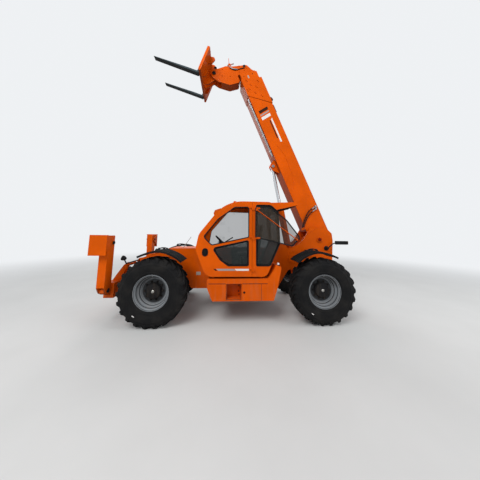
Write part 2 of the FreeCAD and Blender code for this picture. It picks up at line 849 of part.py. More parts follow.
def cab_shell():
    body_y1 = cab_outer_y - door_thickness - panel_gap
    walls = cab_band(0, 40, cab_inner_y, body_y1)
    inner_wall = minus(cab_slab(0, cab_inner_y, cab_inner_y + cab_wall),
                       slab_y(inner_window, cab_inner_y - 10, cab_inner_y + 60))
    left = cab_slab(0, body_y1, cab_outer_y).common(
        cab_span(cab_rear_x - 160, pillar_front_x, body_y1, cab_outer_y))
    left = minus(left, slab_y(side_window, body_y1 - 5, cab_outer_y + 5))
    pillar = cab_slab(0, body_y1 - 40, body_y1).common(
        cab_span(pillar_front_x - 90, door_rear_x + 64, body_y1 - 40, body_y1))
    shell = fused(walls, inner_wall, left, pillar)
    shell = minus(shell, windscreen_tool(0), rear_window_tool(0))
    visor_end = cab_rear_x - 424
    visor = slab_y([
        (cab_rear_x + 238, cab_roof - 4, 0), (visor_end, cab_roof + 24, 0), (visor_end, cab_roof - 42, 0),
        (cab_rear_x + 38, cab_roof - 152, 0), (cab_rear_x + 93, cab_roof - 202, 0),
        (cab_rear_x + 148, cab_roof - 92, 60),
    ], cab_inner_y + 60, body_y1 - 20)
    hinges = []
    for z in hinge_heights:
        hinges.append(fused(
            bar((hinge_x, hinge_y, z - 36), (hinge_x, hinge_y, z), 13),
            block(hinge_x - 63, hinge_x, cab_outer_y - 2, hinge_y + 6, z - 36, z),
            bar((hinge_x, hinge_y, z - 36), (hinge_x, hinge_y, z + 36), hinge_pin_radius),
        ))
    return fused(shell, visor, *hinges, *roof_fittings())


def roof_fittings():
    """Two lifting lugs on the roof's left edge and the lamp bracket over the windscreen."""
    fittings = []
    for x in (cab_rear_x + 430, cab_rear_x + 970):
        fittings.append(slab_y([
            (x - 45, cab_roof - 30, 0), (x + 45, cab_roof - 30, 0), (x + 30, cab_roof + 34, 24),
            (x - 30, cab_roof + 34, 24),
        ], cab_outer_y - 180, cab_outer_y - 166))
    bracket = [
        (cab_front_x - 560, cab_roof - 125, 0), (cab_front_x - 345, cab_roof - 355, 0),
        (cab_front_x - 290, cab_roof - 190, 0), (cab_front_x - 320, cab_roof - 110, 40),
        (cab_front_x - 470, cab_roof - 58, 0),
    ]
    cheek_y = cab_inner_y + 20
    sheet = slab_y(bracket[2:] + [
        (cab_front_x - 473, cab_roof - 67, 0), (cab_front_x - 327, cab_roof - 118, 31),
        (cab_front_x - 299, cab_roof - 194, 0),
    ], cheek_y, cheek_y + 130)
    holder = fused(slab_y(bracket, cheek_y, cheek_y + 10), sheet,
                   slab_y(bracket, cheek_y + 120, cheek_y + 130))
    # its outer cheek stands over the windscreen without touching the glass
    return fittings + [minus(holder, cab_slab(8, cab_inner_y + 65, cheek_y + 140))]


def pane(window, y0):
    """Flat glass in a window's outline, from y0 outwards."""
    wire = outline(window, lambda p: vec(p.x, y0, p.y)).makeOffset2D(-seat_gap)
    return Part.Face(wire).extrude(vec(0, glass_thickness, 0))


def cab_glass():
    skin = cab_band(14, 14 + glass_thickness, cab_inner_y + 40, cab_outer_y - 60)
    windscreen = skin.common(windscreen_tool(seat_gap))
    rear = skin.common(rear_window_tool(seat_gap))
    inner = pane(inner_window, cab_inner_y + 12)
    side = pane(side_window, cab_outer_y - 22)
    keep("cab_glass", windscreen, rear, inner, side)


def door():
    y0 = cab_outer_y - door_thickness
    panel = cab_slab(0, y0, cab_outer_y).common(cab_span(door_rear_x, cab_front_x + 100, y0, cab_outer_y))
    panel = minus(panel, slab_y(door_window, y0 - 5, cab_outer_y + 5),
                  slab_y(door_lower_window, y0 - 5, cab_outer_y + 5))
    hinges = []
    for z in hinge_heights:
        low = z + seat_gap
        high = z + 34
        hinges.append(minus(
            fused(bar((hinge_x, hinge_y, low), (hinge_x, hinge_y, high), 13),
                  block(hinge_x, door_rear_x + 54, cab_outer_y - 2, hinge_y + 6, low, high)),
            bar((hinge_x, hinge_y, z), (hinge_x, hinge_y, z + 40), hinge_pin_radius + pin_clearance)))
    return fused(panel, *hinges)


def door_details():
    keep("door_glass", pane(door_lower_window, cab_outer_y - 20))
    handle_x0 = cab_front_x - 259
    handle_x1 = cab_front_x - 139
    low = cab_floor + 407
    high = cab_floor + 572
    handle = slab_y([
        (handle_x0, low, 55), (handle_x1, low, 55), (handle_x1, high, 55), (handle_x0, high, 55),
    ], cab_outer_y + seat_gap, cab_outer_y + 14)
    keep("door_handle", handle)


def open_window():
    """Upper door pane, swung half round on the door's hinge line and latched beside the cab."""
    swung = [(2 * hinge_x - x, z, radius) for x, z, radius in door_window]
    glass_y = cab_outer_y + 28
    stay_y = glass_y + 20
    glass = slab_y(swung, glass_y, glass_y + 6)
    rim_wire = outline(swung, lambda p: vec(p.x, glass_y - 5, p.y)).makeOffset2D(14)
    seal = minus(Part.Face(rim_wire).extrude(vec(0, 16, 0)), slab_y(swung, glass_y - 8, glass_y + 14))
    arms = []
    for z in hinge_heights[:2]:
        arms.append(block(hinge_x - 123, hinge_x - 65, cab_outer_y + seat_gap, glass_y - 2, z - 22, z + 22))
    top = (hinge_x - 93, cab_roof - 182)
    foot = (hinge_x - 953, cab_floor + 762)
    stay = bar((top[0], stay_y, top[1]), (foot[0], stay_y, foot[1]), 9)
    feet = [block(x - 15, x + 15, glass_y + 1, stay_y, z - 15, z + 15) for x, z in (top, foot)]
    return fused(glass, seal, stay, *arms, *feet)


def cab_interior():
    floor = cab_floor + 40 + seat_gap
    middle_y = (cab_inner_y + cab_outer_y) / 2 - 20
    seat_rear = cab_rear_x + 388
    seat = fused(
        slab_x([
            (middle_y - 225, floor, 0), (middle_y + 225, floor, 0), (middle_y + 185, floor + 330, 30),
            (middle_y - 185, floor + 330, 30),
        ], seat_rear + 30, seat_rear + 450),
        slab_x([
            (middle_y - 255, floor + 320, 40), (middle_y + 255, floor + 320, 40),
            (middle_y + 255, floor + 430, 40), (middle_y - 255, floor + 430, 40),
        ], seat_rear, seat_rear + 510),
        slab_y([
            (seat_rear + 10, floor + 400, 20), (seat_rear + 130, floor + 400, 20),
            (seat_rear + 20, floor + 1050, 40), (seat_rear - 90, floor + 1050, 40),
        ], middle_y - 235, middle_y + 235),
    )
    keep("cab_seat", seat)
    dash_x = cab_front_x - 375
    console = slab_y([
        (dash_x, floor, 20), (dash_x + 140, floor + 160, 40), (dash_x + 240, floor + 450, 40),
        (dash_x + 60, floor + 520, 40), (dash_x - 80, floor, 20),
    ], middle_y - 280, middle_y + 280)
    column = bar((dash_x + 40, middle_y, floor + 460), (dash_x - 130, middle_y, floor + 640), 24)
    wheel_x = dash_x - 140
    wheel_z = floor + 650
    wheel = Part.makeTorus(180, 14, vec(wheel_x, middle_y, wheel_z), vec(-0.69, 0, 0.72))
    hub = bar((wheel_x + 30, middle_y, wheel_z - 30), (wheel_x - 8, middle_y, wheel_z + 10), 60)
    spokes = bar((wheel_x, middle_y - 178, wheel_z), (wheel_x, middle_y + 178, wheel_z), 10)
    keep("cab_console", fused(console, column, wheel, hub, spokes))


def step_box():
    inner = frame_half_width + seat_gap
    top = frame_top_under_cab
    box_outline = [
        (cab_front_x - 257, top - 5, 30), (cab_front_x - 263, 739, 60), (cab_front_x - 372, 492, 20),
        (cab_rear_x + 147, 494, 20), (cab_rear_x + 53, 795, 80), (cab_rear_x - 19, 1166, 30),
        (cab_rear_x + 88, 1200, 40), (cab_rear_x + 157, 1075, 60), (cab_rear_x + 263, top, 60),
    ]
    cover = slab_y(box_outline, inner, cab_outer_y)
    wire = outline(box_outline, lambda p: vec(p.x, 0, p.y)).makeOffset2D(-cover_sheet)
    hollow = moved(Part.Face(wire).extrude(vec(0, cab_outer_y - cover_sheet - inner, 0)), 0, inner - 1, 0)
    x0, x1, z0, z1 = step_recess
    tray = block(x0 - cover_sheet, x1 + cover_sheet, step_depth_y - cover_sheet, cab_outer_y - 1,
                 z0 - cover_sheet, z1 + cover_sheet)
    recess = block(x0, x1, step_depth_y, cab_outer_y + 5, z0, z1)
    pads = []
    for x in (cab_rear_x + 408, cab_front_x - 375):
        pads.append(bar((x, cab_outer_y - 120, top - 8), (x, cab_outer_y - 120, cab_floor - seat_gap), 30))
    return minus(fused(minus(cover, hollow), tray, *pads), recess)


# Engine side

def engine_pod():
    inner = -pod_inner_y
    outer = -pod_outer_y
    shell = slab_x([
        (inner, pod_floor_z, 0), (outer + 60, pod_floor_z, 60), (outer, pod_floor_z + 160, 60),
        (outer, pod_rim_z, 0), (inner, pod_rim_z, 0),
    ], pod_rear_x, pod_front_x)
    hollow = slab_x([
        (inner - pod_wall, pod_floor_z + pod_wall, 0), (outer + 64, pod_floor_z + pod_wall, 56),
        (outer + pod_wall, pod_floor_z + 162, 56), (outer + pod_wall, pod_rim_z + 5, 0),
        (inner - pod_wall, pod_rim_z + 5, 0),
    ], pod_rear_x + pod_wall, pod_front_x - pod_wall)
    wall_top = hood_lid_top_z - 15
    inner_wall = block(pod_rear_x, pod_front_x, inner - pod_wall, inner, pod_rim_z - 10, wall_top)
    brackets = []
    for x in (pod_rear_x + 200, pod_front_x - 300):
        brackets.append(block(x, x + 60, inner, -frame_half_width - seat_gap, 620, 860))
    hinges = []
    for x in hood_hinge_xs:
        end = x + hood_hinge_length
        hinges += [
            bar((x, hood_hinge_y, hood_hinge_z), (end, hood_hinge_y, hood_hinge_z), hood_hinge_radius),
            block(x, end, inner - pod_wall, inner, wall_top - 1, hood_hinge_z),
            bar((x, hood_hinge_y, hood_hinge_z), (end + hood_hinge_length, hood_hinge_y, hood_hinge_z),
                hood_pin_radius),
        ]
    return fused(minus(shell, hollow), inner_wall, *brackets, *hinges)


def engine_hood():
    """Lid over the engine, hinged along its inner top edge."""
    inner = -pod_inner_y - pod_wall - panel_gap
    outer = -pod_outer_y
    low = pod_rim_z + panel_gap
    skin = slab_x([
        (inner, low, 0), (inner, hood_lid_top_z, 0), (-900, hood_lid_top_z - 30, 120), (outer, 1290, 120),
        (outer, low, 0),
    ], pod_rear_x, pod_front_x)
    hollow = slab_x([
        (inner + 20, low - 5, 0), (inner + 20, hood_lid_top_z - 10, 0), (-895, hood_lid_top_z - 40, 112),
        (outer + 10, 1284, 112), (outer + 10, low - 5, 0),
    ], pod_rear_x + 10, pod_front_x - 10)
    hinges = []
    for x in hood_hinge_xs:
        start = x + hood_hinge_length + seat_gap
        end = x + 2 * hood_hinge_length
        barrel = fused(
            bar((start, hood_hinge_y, hood_hinge_z), (end, hood_hinge_y, hood_hinge_z), hood_hinge_radius),
            block(start, end, inner - 20, hood_hinge_y, hood_lid_top_z - 5, hood_hinge_z),
        )
        pin_bore = bar((x, hood_hinge_y, hood_hinge_z), (end + 5, hood_hinge_y, hood_hinge_z),
                       hood_pin_radius + pin_clearance)
        hinges.append(minus(barrel, pin_bore))
    openings = []
    slats = []
    rise = (grille_top - grille_bottom) / grille_slats
    for x0, x1 in grille_panels:
        openings.append(block(x0, x1, outer - 5, outer + 15, grille_bottom, grille_top))
        for k in range(grille_slats):
            z = grille_bottom + (k + 0.5) * rise
            slats.append(slab_x([
                (outer + 1, z - 12, 0), (outer + 1, z - 7, 0),
                (outer + 22, z + 12, 0), (outer + 22, z + 7, 0),
            ], x0 - 3, x1 + 3))
    return fused(minus(skin, hollow, *openings), *hinges, *slats)


def engine_block():
    floor = pod_floor_z + pod_wall + seat_gap
    feet = [block(x, x + 80, -960, -560, floor, 640) for x in (-500, 240)]
    return fused(block(-560, 380, -1000, -520, 620, 1290), *feet)


# Boom, drawn along +X from its pivot with +Z to its top side

def section_sizes(index):
    """Bottom, top and half width of a boom section's outside."""
    return (outer_bottom + index * section_step_t, outer_top - index * section_step_t,
            outer_half_width - index * section_step_y)


def boom_tube(index, start, end_bottom, end_top):
    bottom, top, half = section_sizes(index)
    outside = slab_y([
        (start, bottom, 0), (end_bottom, bottom, 0), (end_top, top, 0), (start, top, 0),
    ], -half, half)
    inside = block(start - 10, end_bottom + end_top, -half + boom_wall, half - boom_wall,
                   bottom + boom_wall, top - boom_wall)
    return outside, inside


def front_pads(index, start, end):
    """Slide pads inside a section's mouth, up to the next section."""
    bottom, top, half = section_sizes(index)
    next_bottom, next_top, next_half = section_sizes(index + 1)
    seat = boom_wall / 2
    ring = block(start, end, -half + seat, half - seat, bottom + seat, top - seat)
    core = block(start - 1, end + 1, -next_half - boom_slide_play, next_half + boom_slide_play,
                 next_bottom - boom_slide_play, next_top + boom_slide_play)
    sides = block(start - 1, end + 1, -half, half, next_bottom + 60, next_top - 60)
    return minus(ring, core, sides)


def rear_pads(index, start, end):
    """Slide pads on the outside of a section's rear end, out to the section around it."""
    bottom, top, half = section_sizes(index)
    around_bottom, around_top, around_half = section_sizes(index - 1)
    play = boom_wall + boom_slide_play
    ring = block(start, end, -around_half + play, around_half - play, around_bottom + play, around_top - play)
    core = block(start - 1, end + 1, -half + 2, half - 2, bottom + 2, top - 2)
    sides = block(start - 1, end + 1, -around_half, around_half, bottom + 60, top - 60)
    return minus(ring, core, sides)


def boom_outer():
    bottom, top, half = section_sizes(0)
    outside = slab_y([
        (-200, bottom, 60), (outer_end, bottom, 0), (outer_end - 110, top, 0), (40, top, 60), (-200, 100, 60),
    ], -half, half)
    inner_half = half - boom_wall
    shell = minus(outside, block(320, outer_end + 50, -inner_half, inner_half,
                                 bottom + boom_wall, top - boom_wall))
    # rear foot: solid cheeks with a hollow middle round the pivot
    foot_gap = slab_y([
        (-260, bottom - 5, 0), (300, bottom - 5, 0), (300, 200, 0), (-260, 90, 0),
    ], -half + 40, half - 40)
    shell = minus(shell, foot_gap)
    plate = collar_plate
    collar = slab_y([
        (outer_end - 530, bottom - plate, 0), (outer_end, bottom - plate, 0),
        (outer_end - 110, top + plate, 0), (outer_end - 960, top + plate, 0),
    ], -half - plate, half + plate)
    collar = minus(collar, block(outer_end - 970, outer_end + 30, -inner_half, inner_half,
                                 bottom + boom_wall, top - boom_wall))
    sleeves = both_sides(bar_y(0, 0, 82, half - 40, plate_inner_y - seat_gap))
    s, t = lift_eye
    lug_outline = [
        (s - 260, bottom + 5, 0), (s - 110, t - 50, 60), (s + 60, t - 75, 70), (s + 110, t + 10, 60),
        (s + 170, bottom + 5, 0),
    ]
    lugs = both_sides(fused(slab_y(lug_outline, lift_lug_gap, lift_lug_gap + 30),
                            bar_y(s, t, 55, lift_lug_gap + 25, lift_lug_gap + 42)))
    pads = front_pads(0, outer_end - 420, outer_end - 120)
    boom = fused(shell, collar, *sleeves, *lugs, pads, *boom_doublers(), *hose_guide(), *hose_glands())
    pin_bore = bar_y(0, 0, boom_pin_radius + pin_clearance, -400, 400)
    return minus(boom, pin_bore)


def boom_doublers():
    """Reinforcing plates on both sides, at the pivot and at the lift cylinder's lugs."""
    bottom, top, half = section_sizes(0)
    s = lift_eye[0]
    foot = [
        (-194, -150, 30), (-150, bottom + 4, 0), (560, bottom + 4, 0), (525, -30, 40), (267, 190, 40),
        (60, 190, 40), (-190, 80, 60),
    ]
    waist = [
        (s - 600, bottom + 4, 0), (s + 480, bottom + 4, 0), (s + 430, 38, 110), (s - 150, 30, 60),
        (s - 450, -50, 60),
    ]
    plates = []
    for shape in (foot, waist):
        plates += both_sides(slab_y(shape, half - 2, half + doubler_plate))
    return plates


def hose_guide():
    """Guide roller with its cheeks on the collar's top edge, and the stop block behind it."""
    bottom, top, half = section_sizes(0)
    s = outer_end - 840
    t = top + collar_plate
    roller_radius = 34
    cheek = [(s - 90, t - 6, 0), (s + 90, t - 6, 0), (s + 44, t + 36, 16), (s - 44, t + 36, 16)]
    pieces = [slab_y(cheek, y, y + 8) for y in (half - 92, half - 8)]
    pieces.append(bar_y(s, t + 16, roller_radius, half - 86, half - 4))
    pieces.append(slab_y([
        (s - 400, top - 4, 0), (s - 170, top - 4, 0), (s - 170, top + 26, 12), (s - 290, top + 26, 12),
        (s - 330, top + 12, 0), (s - 400, top + 12, 0),
    ], half - 110, half - 20))
    return pieces


def hose_glands():
    """Bracket under the boom with the glands that end the two hoses."""
    bottom, top, half = section_sizes(0)
    pieces = [slab_x([
        (half - 50, bottom + 8, 0), (half - 50, -250, 0), (boom_hose_y - 12, -305, 0),
        (boom_hose_y + 14, -305, 0), (boom_hose_y + 14, -205, 0), (half - 2, bottom + 8, 0),
    ], 375, 399)]
    for points in boom_hose_routes.values():
        pieces.append(bar(points[-1], beyond(points, -1, 42), 15))
    return pieces


def boom_mid(index, start, end_bottom, end_top, pad_end):
    outside, inside = boom_tube(index, start, end_bottom, end_top)
    shell = minus(outside, inside)
    return fused(shell, rear_pads(index, start + 20, start + 260), front_pads(index, pad_end - 300, pad_end))


def boom_head():
    index = 3
    start = 720
    outside, inside = boom_tube(index, start, head_end, head_end)
    shell = fused(minus(outside, inside), rear_pads(index, start + 20, start + 260))
    bottom, top, half = section_sizes(index)
    end = head_end
    chin = outer_bottom - 16
    neck_outline = [
        (end - 40, top, 0), (end + 207, 168, 80), (end + 286, -234, 60), (end + 361, -430, 80),
        (end + 347, head_pivot[1] - 95, 94), (end + 157, head_pivot[1] - 95, 90), (end - 32, -802, 60),
        (end - 238, -536, 100), (end - 252, -250, 40), (end - 190, chin, 20), (end - 30, chin, 0),
        (end - 30, bottom, 0),
    ]
    cheek_inner = head_half_width - head_plate
    cheeks = both_sides(slab_y(neck_outline, cheek_inner, head_half_width))
    belly = slab_y([
        (end - 77, -735, 0), (end - 227, -536, 80), (end - 240, -250, 40), (end - 180, chin - 10, 20),
        (end - 50, chin - 10, 0), (end + 10, chin, 0), (end - 5, -240, 0), (end - 160, -270, 40),
        (end - 160, -520, 80), (end - 25, -705, 0),
    ], -cheek_inner - 4, cheek_inner + 4)
    end_plate = block(end - 40, end, -half, half, bottom, top)
    tilt_pin = bar_y(*tilt_base_on_boom, tilt_pin_radius, -head_half_width - 12, head_half_width + 12)
    tilt_spacers = both_sides(bar_y(*tilt_base_on_boom, 40, tilt_barrel_half_eye + 1, cheek_inner + 1))
    fork_bore = bar_y(*head_pivot, carriage_pin_radius + pin_clearance, -300, 300)
    return minus(fused(shell, end_plate, belly, tilt_pin, *cheeks, *tilt_spacers, *coupler_mast()), fork_bore)


def coupler_mast():
    """Upright with the couplers of the attachment's hydraulics, and the glands of the head's hose."""
    y = head_half_width - 15
    foot = head_end + 270
    plate = slab_y([
        (foot, -350, 0), (foot + 150, -338, 15), (foot + 150, -278, 15), (foot, -262, 0),
    ], y - 6, y + 6)
    cross = bar((foot + 105, y, -372), (foot + 105, y, -180), 11)
    knobs = [bar((foot + 105, y, t), (foot + 105, y, t + 30), 17) for t in (-372, -210)]
    lever = bar((foot + 140, y, -306), (foot + 310, y, -256), 7)
    glands = []
    for end in (0, -1):
        glands.append(bar(head_hose_route[end], beyond(head_hose_route, end, 30), head_hose_diameter * 0.7))
    return [plate, cross, lever, *knobs, *glands]


def boom_pipes():
    """Two hydraulic pipes clipped under the outer section."""
    pipe_t = outer_bottom - 20
    start = lift_eye[0] + 252
    end = outer_end - 590
    pieces = []
    for y in (120, 160):
        pieces.append(bar((start, y, pipe_t), (end, y, pipe_t), 12))
    for k in range(4):
        s = start + 140 + (end - start - 320) * k / 3
        pieces.append(block(s, s + 40, 95, 185, pipe_t - 14, outer_bottom - seat_gap))
    return Part.makeCompound([fused(*pieces), *hose_fittings()])


def hose_fittings():
    """Steel ends of the two boom hoses, each in a clamp on the boom's side."""
    pieces = []
    for points in boom_hose_routes.values():
        top = beyond(points, 0, 150)
        clamp = block(top.x - 26, top.x + 26, outer_half_width + seat_gap, boom_hose_y + 17,
                      top.z - 50, top.z - 10)
        pieces.append(fused(bar(points[0], top, 14), clamp))
    return pieces


def boom():
    parts = {
        "boom_outer": boom_outer(),
        "boom_mid_a": boom_mid(1, 420, outer_end + 210, outer_end + 150, outer_end + 110),
        "boom_mid_b": boom_mid(2, 570, outer_end + 222, outer_end + 210, outer_end + 180),
        "boom_head": boom_head(),
        "boom_pipes": boom_pipes(),
        "head_hose": hose("head_hose", head_hose_route, head_hose_diameter),
    }
    for name, route in boom_hose_routes.items():
        parts[name] = hose(name, route, boom_hose_diameter)
    for name, shape in parts.items():
        keep(name, raised(shape, boom_pivot, boom_angle))


# Cylinders: barrel and rod drawn along +X from the base pin

def cylinder_barrel(radius, length, pin_radius, half_eye):
    bore_radius = radius - 15
    tube = bar((pin_radius * 2, 0, 0), (length, 0, 0), radius)
    gland = bar((length - 70, 0, 0), (length, 0, 0), radius + 8)
    eye = bar_y(0, 0, pin_radius * 2, -half_eye, half_eye)
    neck = block(0, pin_radius * 2 + 20, -half_eye, half_eye, -pin_radius * 1.6, pin_radius * 1.6)
    shape = fused(tube, gland, eye, neck)
    hollow = bar((pin_radius * 2 + 40, 0, 0), (length - 40, 0, 0), bore_radius)
    return shape, hollow, bar_y(0, 0, pin_radius + pin_clearance, -half_eye - 5, half_eye + 5)


def cylinder_pair(base, eye, radius, rod_radius, length, rod_length, pin_radius, half_eye, half_rod_eye):
    reach, angle = reach_and_angle(base, eye)
    shape, hollow, pin_hole = cylinder_barrel(radius, length, pin_radius, half_eye)
    mouth = bar((length - 60, 0, 0), (length + 5, 0, 0), rod_radius + pin_clearance)
    barrel = minus(shape, hollow, pin_hole, mouth)
    piston = bar((reach - rod_length, 0, 0), (reach - rod_length + 60, 0, 0), radius - 15 - pin_clearance)
    rod = bar((reach - rod_length, 0, 0), (reach - pin_radius, 0, 0), rod_radius)
    rod_eye = bar_y(reach, 0, pin_radius * 1.65, -half_rod_eye, half_rod_eye)
    return raised(barrel, base, angle), raised(fused(rod, piston, rod_eye), base, angle)


def cylinders():
    barrel, rod = cylinder_pair(lift_base, along_boom(*lift_eye), lift_barrel_radius, lift_rod_radius,
                                lift_barrel_length, lift_rod_length, lift_pin_radius,
                                lift_barrel_half_eye, lift_lug_gap - seat_gap)
    keep("lift_barrel", barrel)
    keep("lift_rod", rod)
    barrel, rod = cylinder_pair(tilt_base, tilt_eye, tilt_barrel_radius, tilt_rod_radius,
                                tilt_barrel_length, tilt_rod_length, tilt_pin_radius,
                                tilt_barrel_half_eye, tilt_lug_gap - seat_gap)
    keep("tilt_barrel", barrel)
    keep("tilt_rod", rod)


# Fork carriage, drawn with its pivot at the origin and the forks along +X

def carriage():
    lug_outline = [
        (180, 290, 0), (80, 290, 60), (-30, 200, 60), (-85, 20, 60), (-100, -120, 60), (40, -330, 60),
        (180, -430, 0),
    ]
    lugs = both_sides(slab_y(lug_outline, tilt_lug_gap, tilt_lug_gap + 30))
    spacers = both_sides(bar_y(0, 0, 58, 78, head_half_width - head_plate - seat_gap))
    pin = bar_y(0, 0, carriage_pin_radius, -head_half_width - 14, head_half_width + 14)
    half = carriage_half_width
    bars = [
        block(175, fork_back - seat_gap, -half, half, 200, 280),
        block(175, fork_back - seat_gap, -half, half, -430, -350),
    ]
    posts = []
    for y0, y1 in ((-half, -half + 20), (half - 20, half), (-90, -60), (60, 90)):
        posts.append(block(175, fork_back - seat_gap, y0, y1, -430, 280))
    return fused(pin, *lugs, *spacers, *bars, *posts)


def forks():
    blades = []
    for side in (-1, 1):
        y = side * fork_spacing / 2
        top = fork_underside + fork_thickness
        blade = slab_y([
            (fork_back, 285, 0), (fork_back, fork_underside, 30),
            (fork_back + fork_length, fork_underside, 0),
            (fork_back + fork_length, fork_underside + 12, 0), (fork_back + 300, top, 0),
            (fork_back + fork_thickness, top, 30), (fork_back + fork_thickness, 285, 0),
        ], y - fork_width / 2, y + fork_width / 2)
        blades.append(blade)
    return blades


def fork_carriage():
    keep("carriage", raised(carriage(), carriage_pivot, fork_angle))
    keep("forks", *[raised(blade, carriage_pivot, fork_angle) for blade in forks()])


def build():
    running_gear()
    keep("frame_plates", *frame_plates())
    keep("chassis_frame", *chassis_frame())
    keep("front_beam", front_beam())
    keep("counterweight", counterweight())
    leg = stabiliser_leg()
    foot = stabiliser_foot()
    keep("stabiliser_leg_l", leg)
    keep("stabiliser_leg_r", mirrored(leg))
    keep("stabiliser_foot_l", foot)
    keep("stabiliser_foot_r", mirrored(foot))
    mudguards()
    lamps()
    keep("cab_shell", cab_shell())
    cab_glass()
    cab_interior()
    keep("door", door())
    door_details()
    keep("open_window", open_window())
    keep("step_box", step_box())
    keep("engine_pod", engine_pod())
    keep("engine_hood", engine_hood())
    keep("engine_block", engine_block())
    boom()
    cylinders()
    fork_carriage()


def origin_shift():
    """Move that puts the origin at the middle of the bottom of the whole machine's box."""
    box = Part.makeCompound(list(nodes.values())).BoundBox
    return vec(-(box.XMin + box.XMax) / 2, -(box.YMin + box.YMax) / 2, -box.ZMin)


build()
shift = origin_shift()
os.makedirs("parts", exist_ok=True)
for name, shape in nodes.items():
    placed = shape.copy()
    placed.translate(shift)
    placed.exportStep("parts/" + name + ".step")
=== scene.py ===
"""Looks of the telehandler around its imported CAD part, laid out as a Blender add-on.

Pieces are drawn in millimetres, in the machine's own axes: origin on the ground at mid wheelbase,
X towards the forks, Y to the cab side, Z up. A frame such as BOOM or CARRIAGE places what is drawn
along the boom or on the forks.
"""

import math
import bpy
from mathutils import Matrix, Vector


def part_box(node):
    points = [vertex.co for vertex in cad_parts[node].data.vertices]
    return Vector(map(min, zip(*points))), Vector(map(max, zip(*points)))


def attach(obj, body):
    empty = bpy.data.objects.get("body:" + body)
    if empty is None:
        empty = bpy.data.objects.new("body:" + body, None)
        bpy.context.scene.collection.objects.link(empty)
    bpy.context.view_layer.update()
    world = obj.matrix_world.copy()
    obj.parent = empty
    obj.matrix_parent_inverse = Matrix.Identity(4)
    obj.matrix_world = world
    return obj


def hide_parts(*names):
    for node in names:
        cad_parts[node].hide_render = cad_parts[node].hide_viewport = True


bl_info = {
    "name": "Telehandler",
    "version": (1, 0, 0),
    "blender": (4, 5, 0),
    "location": "3D View > Sidebar > Telehandler",
    "description": "Gives the packed telehandler its finishes and its small parts",
    "category": "Object",
}

import bmesh
import bpy
from mathutils import Matrix, Vector

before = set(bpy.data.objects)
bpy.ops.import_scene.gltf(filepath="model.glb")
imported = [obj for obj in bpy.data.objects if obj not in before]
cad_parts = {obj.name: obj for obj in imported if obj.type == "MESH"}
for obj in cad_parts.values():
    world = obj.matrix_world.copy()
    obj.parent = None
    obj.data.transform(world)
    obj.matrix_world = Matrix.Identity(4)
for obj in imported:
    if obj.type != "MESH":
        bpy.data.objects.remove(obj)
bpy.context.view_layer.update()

MM = 0.001
WHEELBASE = 3500
WHEEL_TRACK = 1955
TYRE_RADIUS = 674
BOOM_PIVOT = (-2095, 0, 1718)
BOOM_ANGLE = 67.5
CARRIAGE_PIVOT = (774, 0, 6463)
FORK_ANGLE = 18.6
# Distances from the machine's middle: outer face of the cab, the box and the pod, face of a side plate
CAB_SIDE = 1120
PLATE_SIDE = 330
HANDS = (("l", 1), ("r", -1))


# Frames: matrices from a piece's own millimetres to the row frame

def machine_frame():
    """Millimetres of the machine to the row frame; the axles show where mid wheelbase is."""
    boxes = [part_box(name) for name in ("front_axle", "rear_axle")]
    middle = sum(low[0] + high[0] for low, high in boxes) / 4
    return Matrix.Translation((middle, 0, 0)) @ Matrix.Scale(MM, 4)


def moved(x, y, z):
    """The machine's frame with its origin moved."""
    return MACHINE @ Matrix.Translation((x, y, z))


def turned(angle):
    """A turn about Y, X upwards for an angle in degrees over 0."""
    return Matrix.Rotation(-math.radians(angle), 4, "Y")


MACHINE = machine_frame()
BOOM = moved(*BOOM_PIVOT) @ turned(BOOM_ANGLE)
CARRIAGE = moved(*CARRIAGE_PIVOT) @ turned(FORK_ANGLE)
MIRROR = Matrix.Scale(-1, 4, (0, 1, 0))
CORNERS = {
    "fl": (WHEELBASE / 2, 1),
    "fr": (WHEELBASE / 2, -1),
    "rl": (-WHEELBASE / 2, 1),
    "rr": (-WHEELBASE / 2, -1),
}


def handed(place, side):
    """A frame as it is for the left side (1), mirrored for the right side (-1)."""
    return place if side > 0 else place @ MIRROR


def wheel_frame(corner):
    """A wheel's frame: origin at its centre, Y outwards."""
    x, side = CORNERS[corner]
    return handed(moved(x, side * WHEEL_TRACK / 2, TYRE_RADIUS), side)


# Shaders

class Wire:
    """An output socket; arithmetic on it adds Math nodes to its network."""

    def __init__(self, network, socket):
        self.network = network
        self.socket = socket

    def maths(self, operation, first, second):
        return self.network.node("Math", {"operation": operation}, {0: first, 1: second})

    def __add__(self, other):
        return self.maths("ADD", self, other)

    def __sub__(self, other):
        return self.maths("SUBTRACT", self, other)

    def __rsub__(self, other):
        return self.maths("SUBTRACT", other, self)

    def __mul__(self, other):
        return self.maths("MULTIPLY", self, other)

    __radd__ = __add__
    __rmul__ = __mul__

    def below(self, low, high):
        """1 under low, 0 over high, smooth between."""
        settings = {"interpolation_type": "SMOOTHSTEP"}
        values = {"Value": self, "From Min": low, "From Max": high, "To Min": 1.0, "To Max": 0.0}
        return self.network.node("MapRange", settings, values)

    def above(self, low, high):
        return 1 - self.below(low, high)


